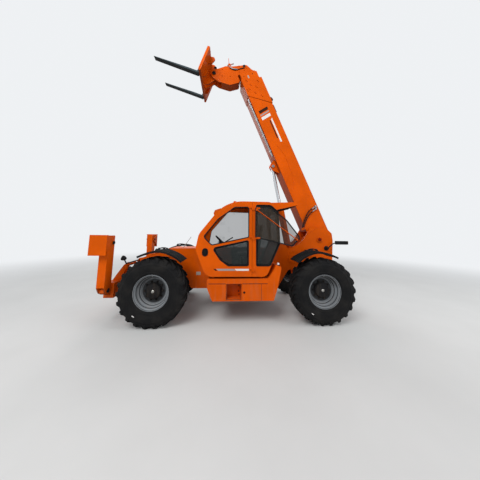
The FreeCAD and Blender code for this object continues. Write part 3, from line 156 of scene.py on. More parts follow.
class Network:
    """The shader nodes of a material or of the world."""

    def __init__(self, tree):
        self.tree = tree

    def feed(self, socket, value):
        """A wire or a plain value into a socket."""
        if isinstance(value, Wire):
            self.tree.links.new(value.socket, socket)
        elif hasattr(socket.default_value, "__len__") and len(socket.default_value) == 4:
            socket.default_value = (*value[:3], 1.0)
        else:
            socket.default_value = value

    def node(self, kind, settings, values, output=0):
        """Add a node: its settings go first, then values or wires to its sockets."""
        node = self.tree.nodes.new("ShaderNode" + kind)
        for name, value in settings.items():
            setattr(node, name, value)
        for key, value in values.items():
            self.feed(node.inputs[key], value)
        return Wire(self, node.outputs[output])

    def shown(self):
        """1 for rays that show a surface: from the camera, mirrored or through glass."""
        camera, mirrored, through = (self.node("LightPath", {}, {}, output="Is %s Ray" % kind)
                                     for kind in ("Camera", "Glossy", "Transmission"))
        return (camera + mirrored + through).above(0.1, 0.9)

    def surface(self, factor, first, second):
        """Mix two shaders into the output's surface."""
        mixed = self.tree.nodes.new("ShaderNodeMixShader")
        self.feed(mixed.inputs[0], factor)
        self.tree.links.new(first.outputs[0], mixed.inputs[1])
        self.tree.links.new(second.outputs[0], mixed.inputs[2])
        output = next(node for node in self.tree.nodes if node.name.endswith(" Output"))
        self.tree.links.new(mixed.outputs[0], output.inputs["Surface"])


class Finish(Network):
    """A material and the nodes that are added to it."""

    def __init__(self, name, **fixed):
        self.material = bpy.data.materials.new(name)
        self.material.use_nodes = True
        super().__init__(self.material.node_tree)
        self.shader = self.tree.nodes["Principled BSDF"]
        self.set(**fixed)

    def set(self, **values):
        """Values or wires for the shader's sockets, spaces in their names written as _."""
        for name, value in values.items():
            self.feed(self.shader.inputs[name.replace("_", " ")], value)

    def blend(self, factor, first, second):
        """Mix of two colours."""
        return self.node("Mix", {"data_type": "RGBA"}, {0: factor, 6: first, 7: second}, output=2)

    def coordinate(self, kind, axis):
        """One axis (0, 1 or 2) of the Object, Generated or Normal coordinates."""
        return self.node("SeparateXYZ", {}, {0: self.node("TexCoord", {}, {}, output=kind)}, output=axis)

    def spot(self):
        """The place on the piece, in metres."""
        return self.node("TexCoord", {}, {}, output="Object")

    def stretched(self, scale):
        """The place with each axis scaled."""
        return self.node("VectorMath", {"operation": "MULTIPLY"}, {0: self.spot(), 1: scale})

    def noise(self, scale, detail=3.0, place=None):
        values = {"Vector": place or self.spot(), "Scale": scale, "Detail": detail, "Roughness": 0.55}
        return self.node("TexNoise", {}, values)

    def bands(self, direction, scale, distortion=0.0):
        """Waves along one axis."""
        settings = {"wave_type": "BANDS", "bands_direction": direction}
        values = {"Vector": self.spot(), "Scale": scale, "Distortion": distortion}
        return self.node("TexWave", settings, values)

    def fade_into(self, colour, near, far):
        """Turn into a plain glow of a colour away from the origin, for rays that show a surface."""
        away = self.node("VectorMath", {"operation": "LENGTH"}, {0: self.spot()}, output=1).above(near, far)
        glow = self.tree.nodes.new("ShaderNodeEmission")
        glow.inputs["Color"].default_value = (*colour, 1)
        self.surface(away * self.shown(), self.shader, glow)

    def relief(self, height, distance, strength):
        """Bump of a height field, distance in metres."""
        values = {"Height": height, "Distance": distance, "Strength": strength}
        self.set(Normal=self.node("Bump", {}, values))


DUST_COLOUR = (0.30, 0.22, 0.15)
# Colour of the painted shade on the undersides of painted steel
SHADOW_COLOUR = (0.02, 0.012, 0.008)
# Dust is thick below the first height and gone above the second, in metres
DUST_HEIGHTS = (0.25, 1.3)
# Squared distance from a rim's middle, 1 at its edge: where the painted shade of the rim's dish starts to
# fade and where it ends
RIM_SHADE_REACH = (0.40, 0.52)
# Inner and outer edge of the painted shade in each groove, measured in the same way
GROOVE_SHADE_REACHES = ((0.60, 0.66), (0.74, 0.80), (0.90, 0.94))
# Colour of the painted shade in a rim's dish and grooves
RIM_SHADE_COLOUR = (0.012, 0.013, 0.014)


def scaled(colour, share):
    return tuple(share * part for part in colour)


def painted(name, colour, shade, dust, gloss, coat=0.0, dish=0.0):
    """Sprayed steel: orange-peel relief, faint patches, dust low down and on flat tops, painted shade on
    undersides.

    dish paints shade into the middle of a wheel's rim and into its grooves, where the light hardly reaches.
    """
    finish = Finish(name, Coat_Roughness=0.12, Specular_IOR_Level=0.03)
    patches = finish.noise(2.3)
    specks = finish.noise(75.0, 2.0)
    streaks = finish.noise(5.0, 4.0, finish.stretched((3.0, 3.0, 0.35)))
    upwards = finish.coordinate("Normal", 2)
    base = finish.blend(patches.above(0.35, 0.7), shade, colour)
    low = finish.coordinate("Object", 2).below(*DUST_HEIGHTS)
    flat = upwards.above(0.75, 0.98)
    grime = (low * streaks.above(0.42, 0.68) + flat * patches.above(0.4, 0.62) * 0.5) * dust
    base = finish.blend(grime, base, DUST_COLOUR)
    # painted shade: faces that look downwards are darkened towards the shadow colour
    base = finish.blend(upwards.below(-0.5, -0.1) * 0.6, base, SHADOW_COLOUR)
    # painted shade: the rim's dish and grooves are darkened where the light hardly reaches
    if dish:
        along = finish.coordinate("Generated", 0) * 2 - 1
        up = finish.coordinate("Generated", 2) * 2 - 1
        reach = along * along + up * up
        inner = reach.below(*RIM_SHADE_REACH)
        for low, high in GROOVE_SHADE_REACHES:
            inner = inner + reach.above(low, low + 0.01) * reach.below(high - 0.01, high)
        base = finish.blend(inner * dish, base, RIM_SHADE_COLOUR)
    finish.set(Base_Color=base, Roughness=gloss + patches * 0.08 + grime * 0.9,
               Coat_Weight=coat - grime * coat)
    finish.relief(finish.noise(420.0, 1.0) * 0.5 + specks * 0.5, 0.0001, 0.2)
    return finish.material


def tyre_rubber():
    """Matt rubber with dust in the hollows and fine moulding grain."""
    finish = Finish("tyre_rubber", Specular_IOR_Level=0.15)
    patches = finish.noise(4.0, 4.0)
    grain = finish.noise(160.0, 2.0)
    base = finish.blend(patches.above(0.4, 0.75) * 0.55, (0.006, 0.006, 0.0065), (0.022, 0.020, 0.018))
    finish.set(Base_Color=base, Roughness=0.72 + grain * 0.2)
    finish.relief(grain * 0.6 + patches * 0.8, 0.0016, 0.5)
    return finish.material


def moulded(name, colour, worn, roughness, grain):
    """Moulded plastic or rubber with a fine grain."""
    finish = Finish(name, Specular_IOR_Level=0.08)
    pattern = finish.noise(grain, 1.0)
    patches = finish.noise(3.5)
    finish.set(Base_Color=finish.blend(patches.above(0.35, 0.8), colour, worn),
               Roughness=roughness + pattern * 0.15)
    finish.relief(pattern, 0.0002, 0.2)
    return finish.material


def bare_metal(name, colour, dull, roughness):
    """Turned, drawn or polished metal with streaks along its height."""
    finish = Finish(name, Metallic=1.0)
    lines = finish.noise(3.0, 5.0, finish.stretched((60.0, 60.0, 2.0)))
    finish.set(Base_Color=finish.blend(lines.above(0.3, 0.75), colour, dull),
               Roughness=roughness + lines * 0.12)
    finish.relief(lines, 0.0001, 0.2)
    return finish.material


def window_glass(name, tint, clear, outer_shade=0.0):
    """Thin tinted pane with a film of dust; the panes on the cab's outer side are darker."""
    finish = Finish(name, Base_Color=tint, IOR=1.45, Specular_IOR_Level=0.4)
    film = finish.noise(6.0, 4.0)
    outer = finish.coordinate("Object", 1).above(1.0, 1.06)
    finish.set(Alpha=(1 - clear) + film.above(0.55, 0.8) * 0.08 + outer * outer_shade,
               Roughness=0.03 + film * 0.06)
    return finish.material


def seat_cloth():
    """Woven cloth with fine crossing threads."""
    finish = Finish("seat_cloth", Sheen_Weight=0.25)
    weave = finish.bands("Y", 260.0, 0.6) * 0.5 + finish.bands("Z", 260.0, 0.6) * 0.5
    finish.set(Base_Color=finish.blend(weave, (0.012, 0.012, 0.014), (0.05, 0.05, 0.055)), Roughness=0.9)
    finish.relief(weave, 0.0008, 0.6)
    return finish.material


def lamp_lens(name, colour):
    """Fluted lens over a bright reflector."""
    finish = Finish(name, IOR=1.5, Coat_Weight=1.0, Coat_Roughness=0.04)
    flutes = finish.bands("Y", 60.0)
    finish.set(Base_Color=finish.blend(flutes * 0.6, colour, scaled(colour, 0.45)), Roughness=0.15)
    finish.relief(flutes, 0.002, 0.6)
    return finish.material


PAINTS = [
    # name, colour, colour of its patches, dust, roughness
    ("axle_black", (0.010, 0.010, 0.011), (0.016, 0.016, 0.017), 0.1, 0.42),
    ("black_paint", (0.012, 0.012, 0.013), (0.02, 0.02, 0.021), 0.2, 0.36),
    ("fork_grey", (0.045, 0.062, 0.068), (0.035, 0.050, 0.055), 0.2, 0.4),
    ("pin_red", (0.24, 0.018, 0.006), (0.18, 0.014, 0.006), 0.2, 0.45),
    ("stripe_white", (0.72, 0.70, 0.68), (0.66, 0.64, 0.62), 0.1, 0.35),
    ("stripe_grey", (0.34, 0.30, 0.29), (0.30, 0.27, 0.26), 0.1, 0.35),
    ("stripe_dark", (0.030, 0.012, 0.008), (0.04, 0.016, 0.01), 0.1, 0.35),
    ("plate_pale", (0.42, 0.36, 0.30), (0.36, 0.30, 0.25), 0.3, 0.45),
]
METALS = [
    # name, colour, colour of its streaks, roughness
    ("chrome_rod", (0.62, 0.63, 0.65), (0.5, 0.51, 0.53), 0.12),
    ("pipe_steel", (0.34, 0.34, 0.35), (0.22, 0.22, 0.23), 0.36),
    ("plated_steel", (0.42, 0.41, 0.38), (0.28, 0.27, 0.25), 0.38),
    ("engine_alloy", (0.30, 0.30, 0.31), (0.18, 0.18, 0.18), 0.5),
]
MOULDINGS = [
    # name, colour, worn colour, roughness, grain
    ("black_plastic", (0.006, 0.006, 0.0065), (0.014, 0.0135, 0.013), 0.65, 220.0),
    ("black_rubber", (0.009, 0.009, 0.010), (0.018, 0.018, 0.018), 0.6, 300.0),
]
LENSES = [
    # name, colour
    ("lens_clear", (0.75, 0.76, 0.78)),
    ("lens_red", (0.45, 0.02, 0.015)),
    ("lens_amber", (0.75, 0.25, 0.02)),
]


def make_finishes(looks):
    """All finishes by name."""
    orange, rim = tuple(looks.orange), tuple(looks.rim)
    finishes = {
        "orange_paint": painted("orange_paint", orange, scaled(orange, 0.86), looks.dust, 0.32, coat=0.06),
        # dish: strength of the painted shade in the rim's middle and grooves
        "rim_silver": painted("rim_silver", rim, scaled(rim, 0.82), 0.12, 0.3, coat=0.2, dish=0.88),
        "tyre_rubber": tyre_rubber(),
        "seat_cloth": seat_cloth(),
        "tinted_glass": window_glass("tinted_glass", (0.012, 0.017, 0.016), looks.glass_clear, 0.38),
        "brown_glass": window_glass("brown_glass", (0.040, 0.026, 0.015), 0.62),
    }
    for make, rows in ((painted, PAINTS), (bare_metal, METALS), (moulded, MOULDINGS), (lamp_lens, LENSES)):
        for row in rows:
            finishes[row[0]] = make(*row)
    return finishes


FINISHES = {}


# Shapes

def linked(name, data):
    """A new object of some data, put in the scene."""
    thing = bpy.data.objects.new(name, data)
    bpy.context.scene.collection.objects.link(thing)
    return thing


def rounded(points, step=12.0):
    """Corners (a, b, radius) of an outline to plain points, arcs cut into short runs."""
    result = []
    count = len(points)
    for i, (a, b, radius) in enumerate(points):
        here = Vector((a, b))
        if radius <= 0:
            result.append(here)
            continue
        before = (Vector(points[i - 1][:2]) - here).normalized()
        after = (Vector(points[(i + 1) % count][:2]) - here).normalized()
        half = before.angle(after) / 2
        reach = radius / math.tan(half)
        centre = here + (before + after).normalized() * (radius / math.sin(half))
        start = here + before * reach - centre
        end = here + after * reach - centre
        sweep = math.atan2(start.x * end.y - start.y * end.x, start.dot(end))
        runs = max(2, round(abs(math.degrees(sweep)) / step))
        for k in range(runs + 1):
            turn = Matrix.Rotation(sweep * k / runs, 2)
            result.append(centre + turn @ start)
    return result


def offset(points, distance):
    """A closed line of points moved inwards by a distance."""
    area = sum(a.x * b.y - b.x * a.y for a, b in zip(points, points[1:] + points[:1]))
    side = 1 if area > 0 else -1
    moved = []
    for i, here in enumerate(points):
        before = here - points[i - 1]
        after = points[(i + 1) % len(points)] - here
        if before.length < 1e-6:
            before = after
        if after.length < 1e-6:
            after = before
        normal_a = Vector((-before.y, before.x)).normalized() * side
        normal_b = Vector((-after.y, after.x)).normalized() * side
        middle = (normal_a + normal_b).normalized()
        moved.append(here + middle * distance / max(0.5, middle.dot(normal_a)))
    return moved


def rect(a0, b0, a1, b1, radius=0):
    """Outline of a rectangle with its corners rounded."""
    return [(a, b, radius) for a, b in ((a0, b0), (a1, b0), (a1, b1), (a0, b1))]


def circle(radius, count, shift=0.0):
    """Points (a, b) spaced evenly on a circle, turned by a share of a step."""
    turns = [2 * math.pi * (k + shift) / count for k in range(count)]
    return [(radius * math.cos(turn), radius * math.sin(turn)) for turn in turns]


def at_side(points, y):
    """Points of an outline (x, z) at one distance to the side."""
    return [(p.x, y, p.y) for p in points]


def sided(side, near, far):
    """Two distances from the middle on one side, the lower first."""
    return sorted((side * near, side * far))


AXES = {
    # where an outline's two coordinates and its depth go
    "y": lambda a, b, depth: Vector((a, depth, b)),
    "x": lambda a, b, depth: Vector((depth, a, b)),
    "z": lambda a, b, depth: Vector((a, b, depth)),
}


class Shape:
    """Faces of one piece, in the millimetres of its frame."""

    def __init__(self):
        self.mesh = bmesh.new()

    def loops(self, rows, joined=False):
        """Skin through rows of closed rings; the last is joined to the first, or else both are capped."""
        rings = [[self.mesh.verts.new(point) for point in row] for row in rows]
        for first, second in zip(rings, rings[1:] + rings[:1] if joined else rings[1:]):
            count = len(first)
            for i in range(count):
                j = (i + 1) % count
                self.mesh.faces.new((first[i], first[j], second[j], second[i]))
        if not joined:
            self.mesh.faces.new(reversed(rings[0]))
            self.mesh.faces.new(rings[-1])
        return self

    def slab(self, outline, low, high, axis="y"):
        """Outline (a, b, radius) filled and thick from low to high along an axis."""
        points = rounded(outline)
        place = AXES[axis]
        return self.loops([[place(p.x, p.y, depth) for p in points] for depth in (low, high)])

    def band(self, outline, width, low, high, outward=0.0):
        """Flat frame of a width inside an outline, such as a seal."""
        edge = rounded(outline)
        if outward:
            edge = offset(edge, -outward)
        inner = offset(edge, width)
        rows = [(edge, low), (edge, high), (inner, high), (inner, low)]
        return self.loops([at_side(points, depth) for points, depth in rows], joined=True)

    def cord_ring(self, outline, radius, depth):
        """Round seal that runs along an outline."""
        edge = rounded(outline)
        return self.loops([at_side(offset(edge, inset), depth + out) for inset, out in circle(radius, 6)],
                          joined=True)

    def block(self, x0, x1, y0, y1, z0, z1):
        corners = ((x0, y0), (x1, y0), (x1, y1), (x0, y1))
        return self.loops([[(x, y, z) for x, y in corners] for z in (z0, z1)])

    def lathe(self, profile, centre=(0, 0, 0), axis=(0, 1, 0), steps=48, joined=False):
        """Profile of (radius, along) turned about an axis through a centre."""
        axis = Vector(axis).normalized()
        side = axis.orthogonal().normalized()
        other = axis.cross(side)
        centre = Vector(centre)
        rows = []
        for radius, along in profile:
            middle = centre + axis * along
            rows.append([middle + side * a + other * b for a, b in circle(max(radius, 0.05), steps)])
        return self.loops(rows, joined)

    def rod(self, start, end, radius, steps=16, rim=1.5):
        """Round bar with broken edges."""
        start = Vector(start)
        along = Vector(end) - start
        rim = min(rim, radius / 3)
        length = along.length
        profile = [(radius - rim, 0), (radius, rim), (radius, length - rim), (radius - rim, length)]
        return self.lathe(profile, start, along, steps)

    def tube(self, path, radius, sides=10, smooth=6):
        """Hose or bent pipe through points, rounded between them."""
        points = curve_through([Vector(p) for p in path], smooth)
        rows = []
        side = None
        for i, here in enumerate(points):
            before = points[max(i - 1, 0)]
            after = points[min(i + 1, len(points) - 1)]
            along = (after - before).normalized()
            side = along.orthogonal() if side is None else side - along * side.dot(along)
            side.normalize()
            other = along.cross(side)
            rows.append([here + side * a + other * b for a, b in circle(radius, sides)])
        return self.loops(rows)

    def bolt(self, centre, axis, across=24.0, height=14.0):
        """Washer with a chamfered hexagon head."""
        self.lathe([(across * 0.75, 0), (across * 0.75, 2.5), (across * 0.5, 3)], centre, axis, 16)
        radius = across / math.sqrt(3)
        return self.lathe([(radius, 2.5), (radius, height - 2), (radius * 0.86, height)], centre, axis, 6)

    def pin_end(self, centre, axis, radius, height=12.0):
        """Round end of a pin with a broken edge and a grease nipple."""
        profile = [(radius, 0), (radius, height - 3), (radius - 3, height), (radius * 0.45, height),
                   (radius * 0.4, height - 3), (7, height - 3), (7, height + 3), (4, height + 7)]
        return self.lathe(profile, centre, axis, 32)

    def piece(self, name, finish, body, place=None, bevel=0.0, smooth=35.0, replaces=()):
        """The finished object: placed, given its finish, and set on the body that it moves with."""
        place = MACHINE if place is None else place
        bmesh.ops.recalc_face_normals(self.mesh, faces=self.mesh.faces)
        self.mesh.transform(place)
        if place.determinant() < 0:
            bmesh.ops.reverse_faces(self.mesh, faces=self.mesh.faces)
        data = bpy.data.meshes.new(name)
        self.mesh.to_mesh(data)
        self.mesh.free()
        data.shade_smooth()
        data.set_sharp_from_angle(angle=math.radians(smooth))
        piece = linked(name, data)
        data.materials.append(FINISHES[finish])
        if bevel:
            round_edges(piece, bevel)
        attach(piece, body)
        if replaces:
            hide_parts(*replaces)
        return piece


def curve_through(points, runs):
    """Catmull-Rom line through points."""
    if len(points) < 3:
        return points
    ends = [points[0] * 2 - points[1]] + points + [points[-1] * 2 - points[-2]]
    line = []
    for a, b, c, d in zip(ends, ends[1:], ends[2:], ends[3:]):
        for k in range(runs):
            t = k / runs
            line.append(0.5 * (2 * b + (c - a) * t + (2 * a - 5 * b + 4 * c - d) * t * t
                               + (3 * b - a - 3 * c + d) * t ** 3))
    line.append(points[-1])
    return line


def round_edges(piece, width):
    """Weld and bevel, so that edges catch the light."""
    weld = piece.modifiers.new("weld", "WELD")
    weld.merge_threshold = 0.00005
    bevel = piece.modifiers.new("edges", "BEVEL")
    bevel.width = width * MM
    bevel.segments = 2
    bevel.limit_method = "ANGLE"
    bevel.angle_limit = math.radians(40)
    bevel.harden_normals = True
    bevel.use_clamp_overlap = True


# Settings that a user would change

def colour_setting(name, about, value):
    return bpy.props.FloatVectorProperty(
        name=name, description=about, default=value, size=3, min=0.0, max=1.0, subtype="COLOR")


def share_setting(name, about, value):
    return bpy.props.FloatProperty(
        name=name, description=about, default=value, min=0.0, max=1.0, subtype="FACTOR")


def length_setting(name, about, value):
    return bpy.props.FloatProperty(
        name=name, description=about, default=value, subtype="DISTANCE", unit="LENGTH")


class TelehandlerLooks(bpy.types.PropertyGroup):
    """Sizes and colours of the telehandler's looks"""

    orange: colour_setting("Body paint", "Colour of the painted steel", (0.66, 0.092, 0.001))
    rim: colour_setting("Rim paint", "Colour of the wheel rims", (0.22, 0.235, 0.25))
    dust: share_setting("Dust", "How much dust lies low down and on flat tops", 0.14)
    glass_clear: share_setting("Glass clearness", "Share of light that the cab windows let through", 0.70)


class TyreSettings(bpy.types.PropertyGroup):
    """Tread of the tyres"""

    lugs: bpy.props.IntProperty(
        name="Lugs a side", description="Number of tread lugs on each side of a tyre",
        default=22, min=12, max=30)
    sweep: bpy.props.FloatProperty(
        name="Lug sweep", description="Turn of a lug between the tyre's middle and its shoulder",
        default=math.radians(17), subtype="ANGLE", unit="ROTATION")
    hollow: length_setting("Tread depth", "Depth between the lugs", 0.034)


class WheelSettings(bpy.types.PropertyGroup):
    """Rims and hubs"""

    nuts: bpy.props.IntProperty(
        name="Wheel nuts", description="Number of nuts on a wheel", default=10, min=6, max=16)
    nut_circle: length_setting("Nut circle", "Radius of the circle that the wheel nuts lie on", 0.182)


class GuardSettings(bpy.types.PropertyGroup):
    """Mudguards"""

    ribs: bpy.props.IntProperty(
        name="Ribs", description="Number of ribs along a mudguard", default=6, min=0, max=12)
    rib_height: length_setting("Rib height", "How far a rib stands up", 0.020)


NODE_LOOKS = [
    # finish, edge width in millimetres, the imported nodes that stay
    ("orange_paint", 3, "lift_barrel tilt_barrel"),
    ("orange_paint", 4, "frame_plates chassis_frame cab_shell door step_box engine_pod engine_hood"),
    ("orange_paint", 4, "boom_outer boom_mid_a boom_mid_b boom_head carriage"),
    ("orange_paint", 4, "stabiliser_foot_l stabiliser_foot_r"),
    ("orange_paint", 5, "front_beam stabiliser_leg_l stabiliser_leg_r"),
    ("orange_paint", 8, "counterweight"),
    ("axle_black", 4, "front_axle rear_axle knuckle_fl knuckle_fr knuckle_rl knuckle_rr"),
    ("black_paint", 3, "front_lamps"),
    ("tinted_glass", 0, "cab_glass door_glass"),
    ("black_plastic", 8, "cab_console"),
    ("engine_alloy", 6, "engine_block"),
    ("pipe_steel", 0, "boom_pipes"),
    ("chrome_rod", 0, "lift_rod tilt_rod"),
    ("fork_grey", 4, "forks"),
]


class TELEHANDLER_OT_paint(bpy.types.Operator):
    """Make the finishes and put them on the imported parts, with soft edges"""

    bl_idname = "telehandler.paint"
    bl_label = "Paint the parts"

    def execute(self, context):
        FINISHES.update(make_finishes(context.scene.telehandler_looks))
        for finish, edge, names in NODE_LOOKS:
            for name in names.split():
                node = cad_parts[name]
                node.data.materials.clear()
                node.data.materials.append(FINISHES[finish])
                if edge:
                    round_edges(node, edge)
        return {"FINISHED"}


# Wheels

# Outer half of the tyre's skin between the lugs: radius, distance from the middle
TYRE_SKIN = [
    (319, 150), (319, 174), (330, 181), (347, 186), (354, 195), (372, 202), (378, 206), (398, 208),
    (403, 206), (430, 213), (465, 220), (500, 221), (528, 219), (532, 221), (545, 220), (549, 217),
    (580, 209), (606, 197), (626, 184),
]


def tyre_shape(settings):
    """Carcass with ribbed walls and two rows of swept lugs, one row half a step behind the other."""
    shape = Shape()
    floor = TYRE_RADIUS - settings.hollow / MM
    half = TYRE_SKIN + [(floor - 2, 160), (floor, 120), (floor, 40)]
    shape.lathe(half + [(radius, -y) for radius, y in reversed(half)], steps=110, joined=True)
    stations = [
        # share of the sweep, distance from the middle, top radius, foot radius, foot distance, width
        (1.00, 6, 670, floor - 6, 6, 46),
        (0.72, 55, 672, floor - 6, 55, 46),
        (0.42, 108, 672.5, floor - 6, 108, 48),
        (0.16, 156, 672.5, floor - 8, 156, 52),
        (0.08, 174, 671, 624, 168, 56),
        (0.03, 190, 648, 610, 182, 60),
        (0.00, 202, 629, 596, 192, 62),
        (0.00, 209, 612, 582, 202, 56),
        (0.00, 213, 588, 570, 206, 40),
    ]
    pitch = 2 * math.pi / settings.lugs
    for side in (-1, 1):
        for k in range(settings.lugs):
            start = (k + (0.5 if side < 0 else 0)) * pitch
            rows = []
            for share, y, top, foot, foot_y, width in stations:
                turn = start - share * settings.sweep
                row = []
                corners = ((foot, foot_y, -width - 12), (top, y, -width), (top, y, width),
                           (foot, foot_y, width + 12))
                for radius, distance, reach in corners:
                    angle = turn + reach / 2 / top
                    row.append((radius * math.cos(angle), side * distance, radius * math.sin(angle)))
                rows.append(row)
            shape.loops(rows)
    return shape


# Rim's skin: radius, distance outwards from the wheel's middle
RIM_SKIN = [
    (343, 184), (344, 188), (340, 190), (334, 189), (329, 184), (326, 172), (319, 166), (311, 162),
    (309, 142), (305, 134), (297, 130), (295, 100), (291, 92), (281, 88), (278, 56), (270, 46),
    (258, 42), (255, 26), (246, 14), (228, 15), (150, 16), (146, 12), (146, -8), (240, -8), (282, 20),
    (300, -20), (303, -150), (312, -168), (329, -184), (334, -189), (340, -190), (344, -188),
    (343, -184), (330, -179), (318, -176), (318, 176), (330, 180),
]
HUB_SKIN = [
    (70.5, -15), (145, -15), (145, 16), (156, 17), (160, 22), (161, 52), (157, 58), (150, 60),
    (148, 80), (143, 87), (134, 90), (70, 93), (66, 97), (34, 99), (0, 99),
]
HUB_BOLT_CIRCLE = 108
CAP_SKIN = [(30, 98), (30, 104), (24, 110), (12, 113), (0, 113)]


# Pale label on a tyre's wall: turn about the axle and height from it
LABEL_TURN = 35
LABEL_Z = -505


class TELEHANDLER_OT_tyres(bpy.types.Operator):
    """Build the four lugged tyres"""

    bl_idname = "telehandler.tyres"
    bl_label = "Tyres"

    def execute(self, context):
        settings = context.scene.telehandler_tyres
        for corner in CORNERS:
            shape = tyre_shape(settings)
            shape.piece("treaded_tyre_" + corner, "tyre_rubber", "wheel_" + corner, wheel_frame(corner),
                        bevel=3.0, smooth=30, replaces=("tyre_" + corner,))
        return {"FINISHED"}


class TELEHANDLER_OT_wheels(bpy.types.Operator):
    """Build the stepped rims, the hubs, their nuts and caps"""

    bl_idname = "telehandler.wheels"
    bl_label = "Rims and hubs"

    def execute(self, context):
        settings = context.scene.telehandler_wheels
        for corner in CORNERS:
            place = wheel_frame(corner)
            body = "wheel_" + corner
            rim = Shape().lathe(RIM_SKIN, steps=96, joined=True)
            rim.piece("stepped_rim_" + corner, "rim_silver", body, place, replaces=("rim_" + corner,))
            hub = Shape().lathe(HUB_SKIN, steps=64)
            nuts = Shape()
            for x, z in circle(settings.nut_circle / MM, settings.nuts):
                nuts.lathe([(21, 16), (21, 20), (17, 24)], (x, 0, z), (0, 1, 0), 20)
                nuts.bolt((x, 20, z), (0, 1, 0), 30, 26)
                nuts.lathe([(9, 44), (9, 54), (7, 57)], (x, 0, z), (0, 1, 0), 12)
            for x, z in circle(HUB_BOLT_CIRCLE, 6, 0.5):
                hub.bolt((x, 88, z), (0, 1, 0), 16, 10)
            hub.piece("hub_" + corner, "axle_black", body, place, bevel=1.5)
            nuts.piece("wheel_nuts_" + corner, "black_paint", body, place)
            for name, steel in (("hub_cap_", Shape().lathe(CAP_SKIN, steps=32)),
                                ("valve_", Shape().rod((0, 110, 316), (0, 168, 304), 5))):
                steel.piece(name + corner, "plated_steel", body, place)
            label = Shape().slab(rect(-26, -8, 26, 8, 2), 219.6, 222)
            there = turned(LABEL_TURN) @ Matrix.Translation((0, 0, LABEL_Z))
            label.piece("tyre_label_" + corner, "stripe_white", body, place @ there)
        return {"FINISHED"}


# Mudguards

# Middle line of the guard's underside: forwards of the wheel, above the ground
GUARD_LINE = [(305, 1353), (150, 1415), (-25, 1460), (-222, 1448), (-423, 1361), (-560, 1266)]
GUARD_INNER_Y = 722
GUARD_OUTER_Y = 1188


class TELEHANDLER_OT_mudguards(bpy.types.Operator):
    """Build the ribbed mudguards with their stays"""

    bl_idname = "telehandler.mudguards"
    bl_label = "Mudguards"

    def execute(self, context):
        settings = context.scene.telehandler_guards
        height = settings.rib_height / MM
        section = [(GUARD_INNER_Y, 0), (GUARD_INNER_Y, 12), (GUARD_INNER_Y + 10, 5)]
        width = GUARD_OUTER_Y - GUARD_INNER_Y - 60
        for k in range(settings.ribs):
            middle = GUARD_INNER_Y + 40 + width * k / max(1, settings.ribs - 1)
            section += [(middle + y, 5 + up) for y, up in ((-18, 0), (-11, height), (11, height), (18, 0))]
        section += [(GUARD_OUTER_Y + y, up)
                    for y, up in ((-8, 5), (0, 1), (0, -16), (-5, -16), (-6, -3), (-12, 0))]
        line = curve_through([Vector(p) for p in GUARD_LINE], 8)
        for axle, end in (("front", 1), ("rear", -1)):
            for hand, side in HANDS:
                mirror = Matrix.Diagonal((end, side, 1, 1))
                place = MACHINE @ mirror @ Matrix.Translation((WHEELBASE / 2, 0, 0))
                guard = Shape()
                rows = []
                for i, here in enumerate(line):
                    along = (line[min(i + 1, len(line) - 1)] - line[max(i - 1, 0)]).normalized()
                    up = Vector((along.y, -along.x))
                    up = up if up.y > 0 else -up
                    rows.append([Vector((here.x + up.x * h, y, here.y + up.y * h)) for y, h in section])
                guard.loops(rows)
                node = (axle + "_mudguards",) if side > 0 else ()
                guard.piece(axle + "_guard_" + hand, "black_plastic", "chassis", place,
                            smooth=28, replaces=node)
                stay = Shape()
                stay.slab([(PLATE_SIDE, 1400, 0), (PLATE_SIDE, 1458, 4), (GUARD_OUTER_Y - 60, 1458, 4),
                           (GUARD_OUTER_Y - 60, 1450, 2), (PLATE_SIDE + 90, 1448, 30)], -60, -52, "x")
                stay.block(-60, 10, PLATE_SIDE, GUARD_OUTER_Y - 68, 1450, 1457)
                for y in (790, 960, 1080):
                    stay.bolt((-25, y, 1472), (0, 0, 1), 17, 9)
                for x in (-165, -95, 20):
                    cleat = [(x, 1455, 0), (x + 62, 1455, 0), (x + 52, 1500, 16), (x + 8, 1500, 16)]
                    stay.slab(cleat, 728, 772)
                    stay.bolt((x + 31, 750, 1498), (0, 0, 1), 20, 16)
                stay.tube([(-140, 750, 1496), (-90, 748, 1510), (-20, 748, 1510), (50, 750, 1496)], 13, 8)
                stay.piece(axle + "_guard_stay_" + hand, "black_paint", "chassis", place, bevel=1.5)
        return {"FINISHED"}


# Hoses

# Each hose: the body it rides on, diameter, real length, and its route's points in boom millimetres
HOSES = {
    "boom_hose_a": ("boom", 25, 608, [
        (805, 236, 195), (790, 236, 105), (692, 236, -31), (552, 236, -176), (430, 236, -262)]),
    "boom_hose_b": ("boom", 25, 511, [
        (731, 236, 180), (712, 236, 110), (650, 236, -2), (537, 236, -138), (432, 236, -222)]),
    "head_hose": ("head", 20, 420, [
        (5475, 138, -325), (5395, 138, -270), (5358, 138, -165), (5372, 138, -50), (5360, 138, 50)]),
}


class TELEHANDLER_OT_hoses(bpy.types.Operator):
    """Lay the three hydraulic hoses along their routes"""

    bl_idname = "telehandler.hoses"
    bl_label = "Hoses"

    def execute(self, context):
        for node, (body, diameter, length, route) in HOSES.items():
            data = bpy.data.curves.new(node + "_run", "CURVE")
            data.dimensions = "3D"
            line = data.splines.new("NURBS")
            line.points.add(len(route) - 1)
            for point, here in zip(line.points, route):
                point.co = (*(BOOM @ Vector(here)), 1)
            line.order_u = 3
            line.use_endpoint_u = True
            data.resolution_u = 16
            data.bevel_depth = diameter / 2 * MM
            data.bevel_resolution = 4
            data.use_fill_caps = True
            hose = linked(node + "_run", data)
            data.materials.append(FINISHES["black_rubber"])
            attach(hose, body)
            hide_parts(node)
        return {"FINISHED"}


# Cab

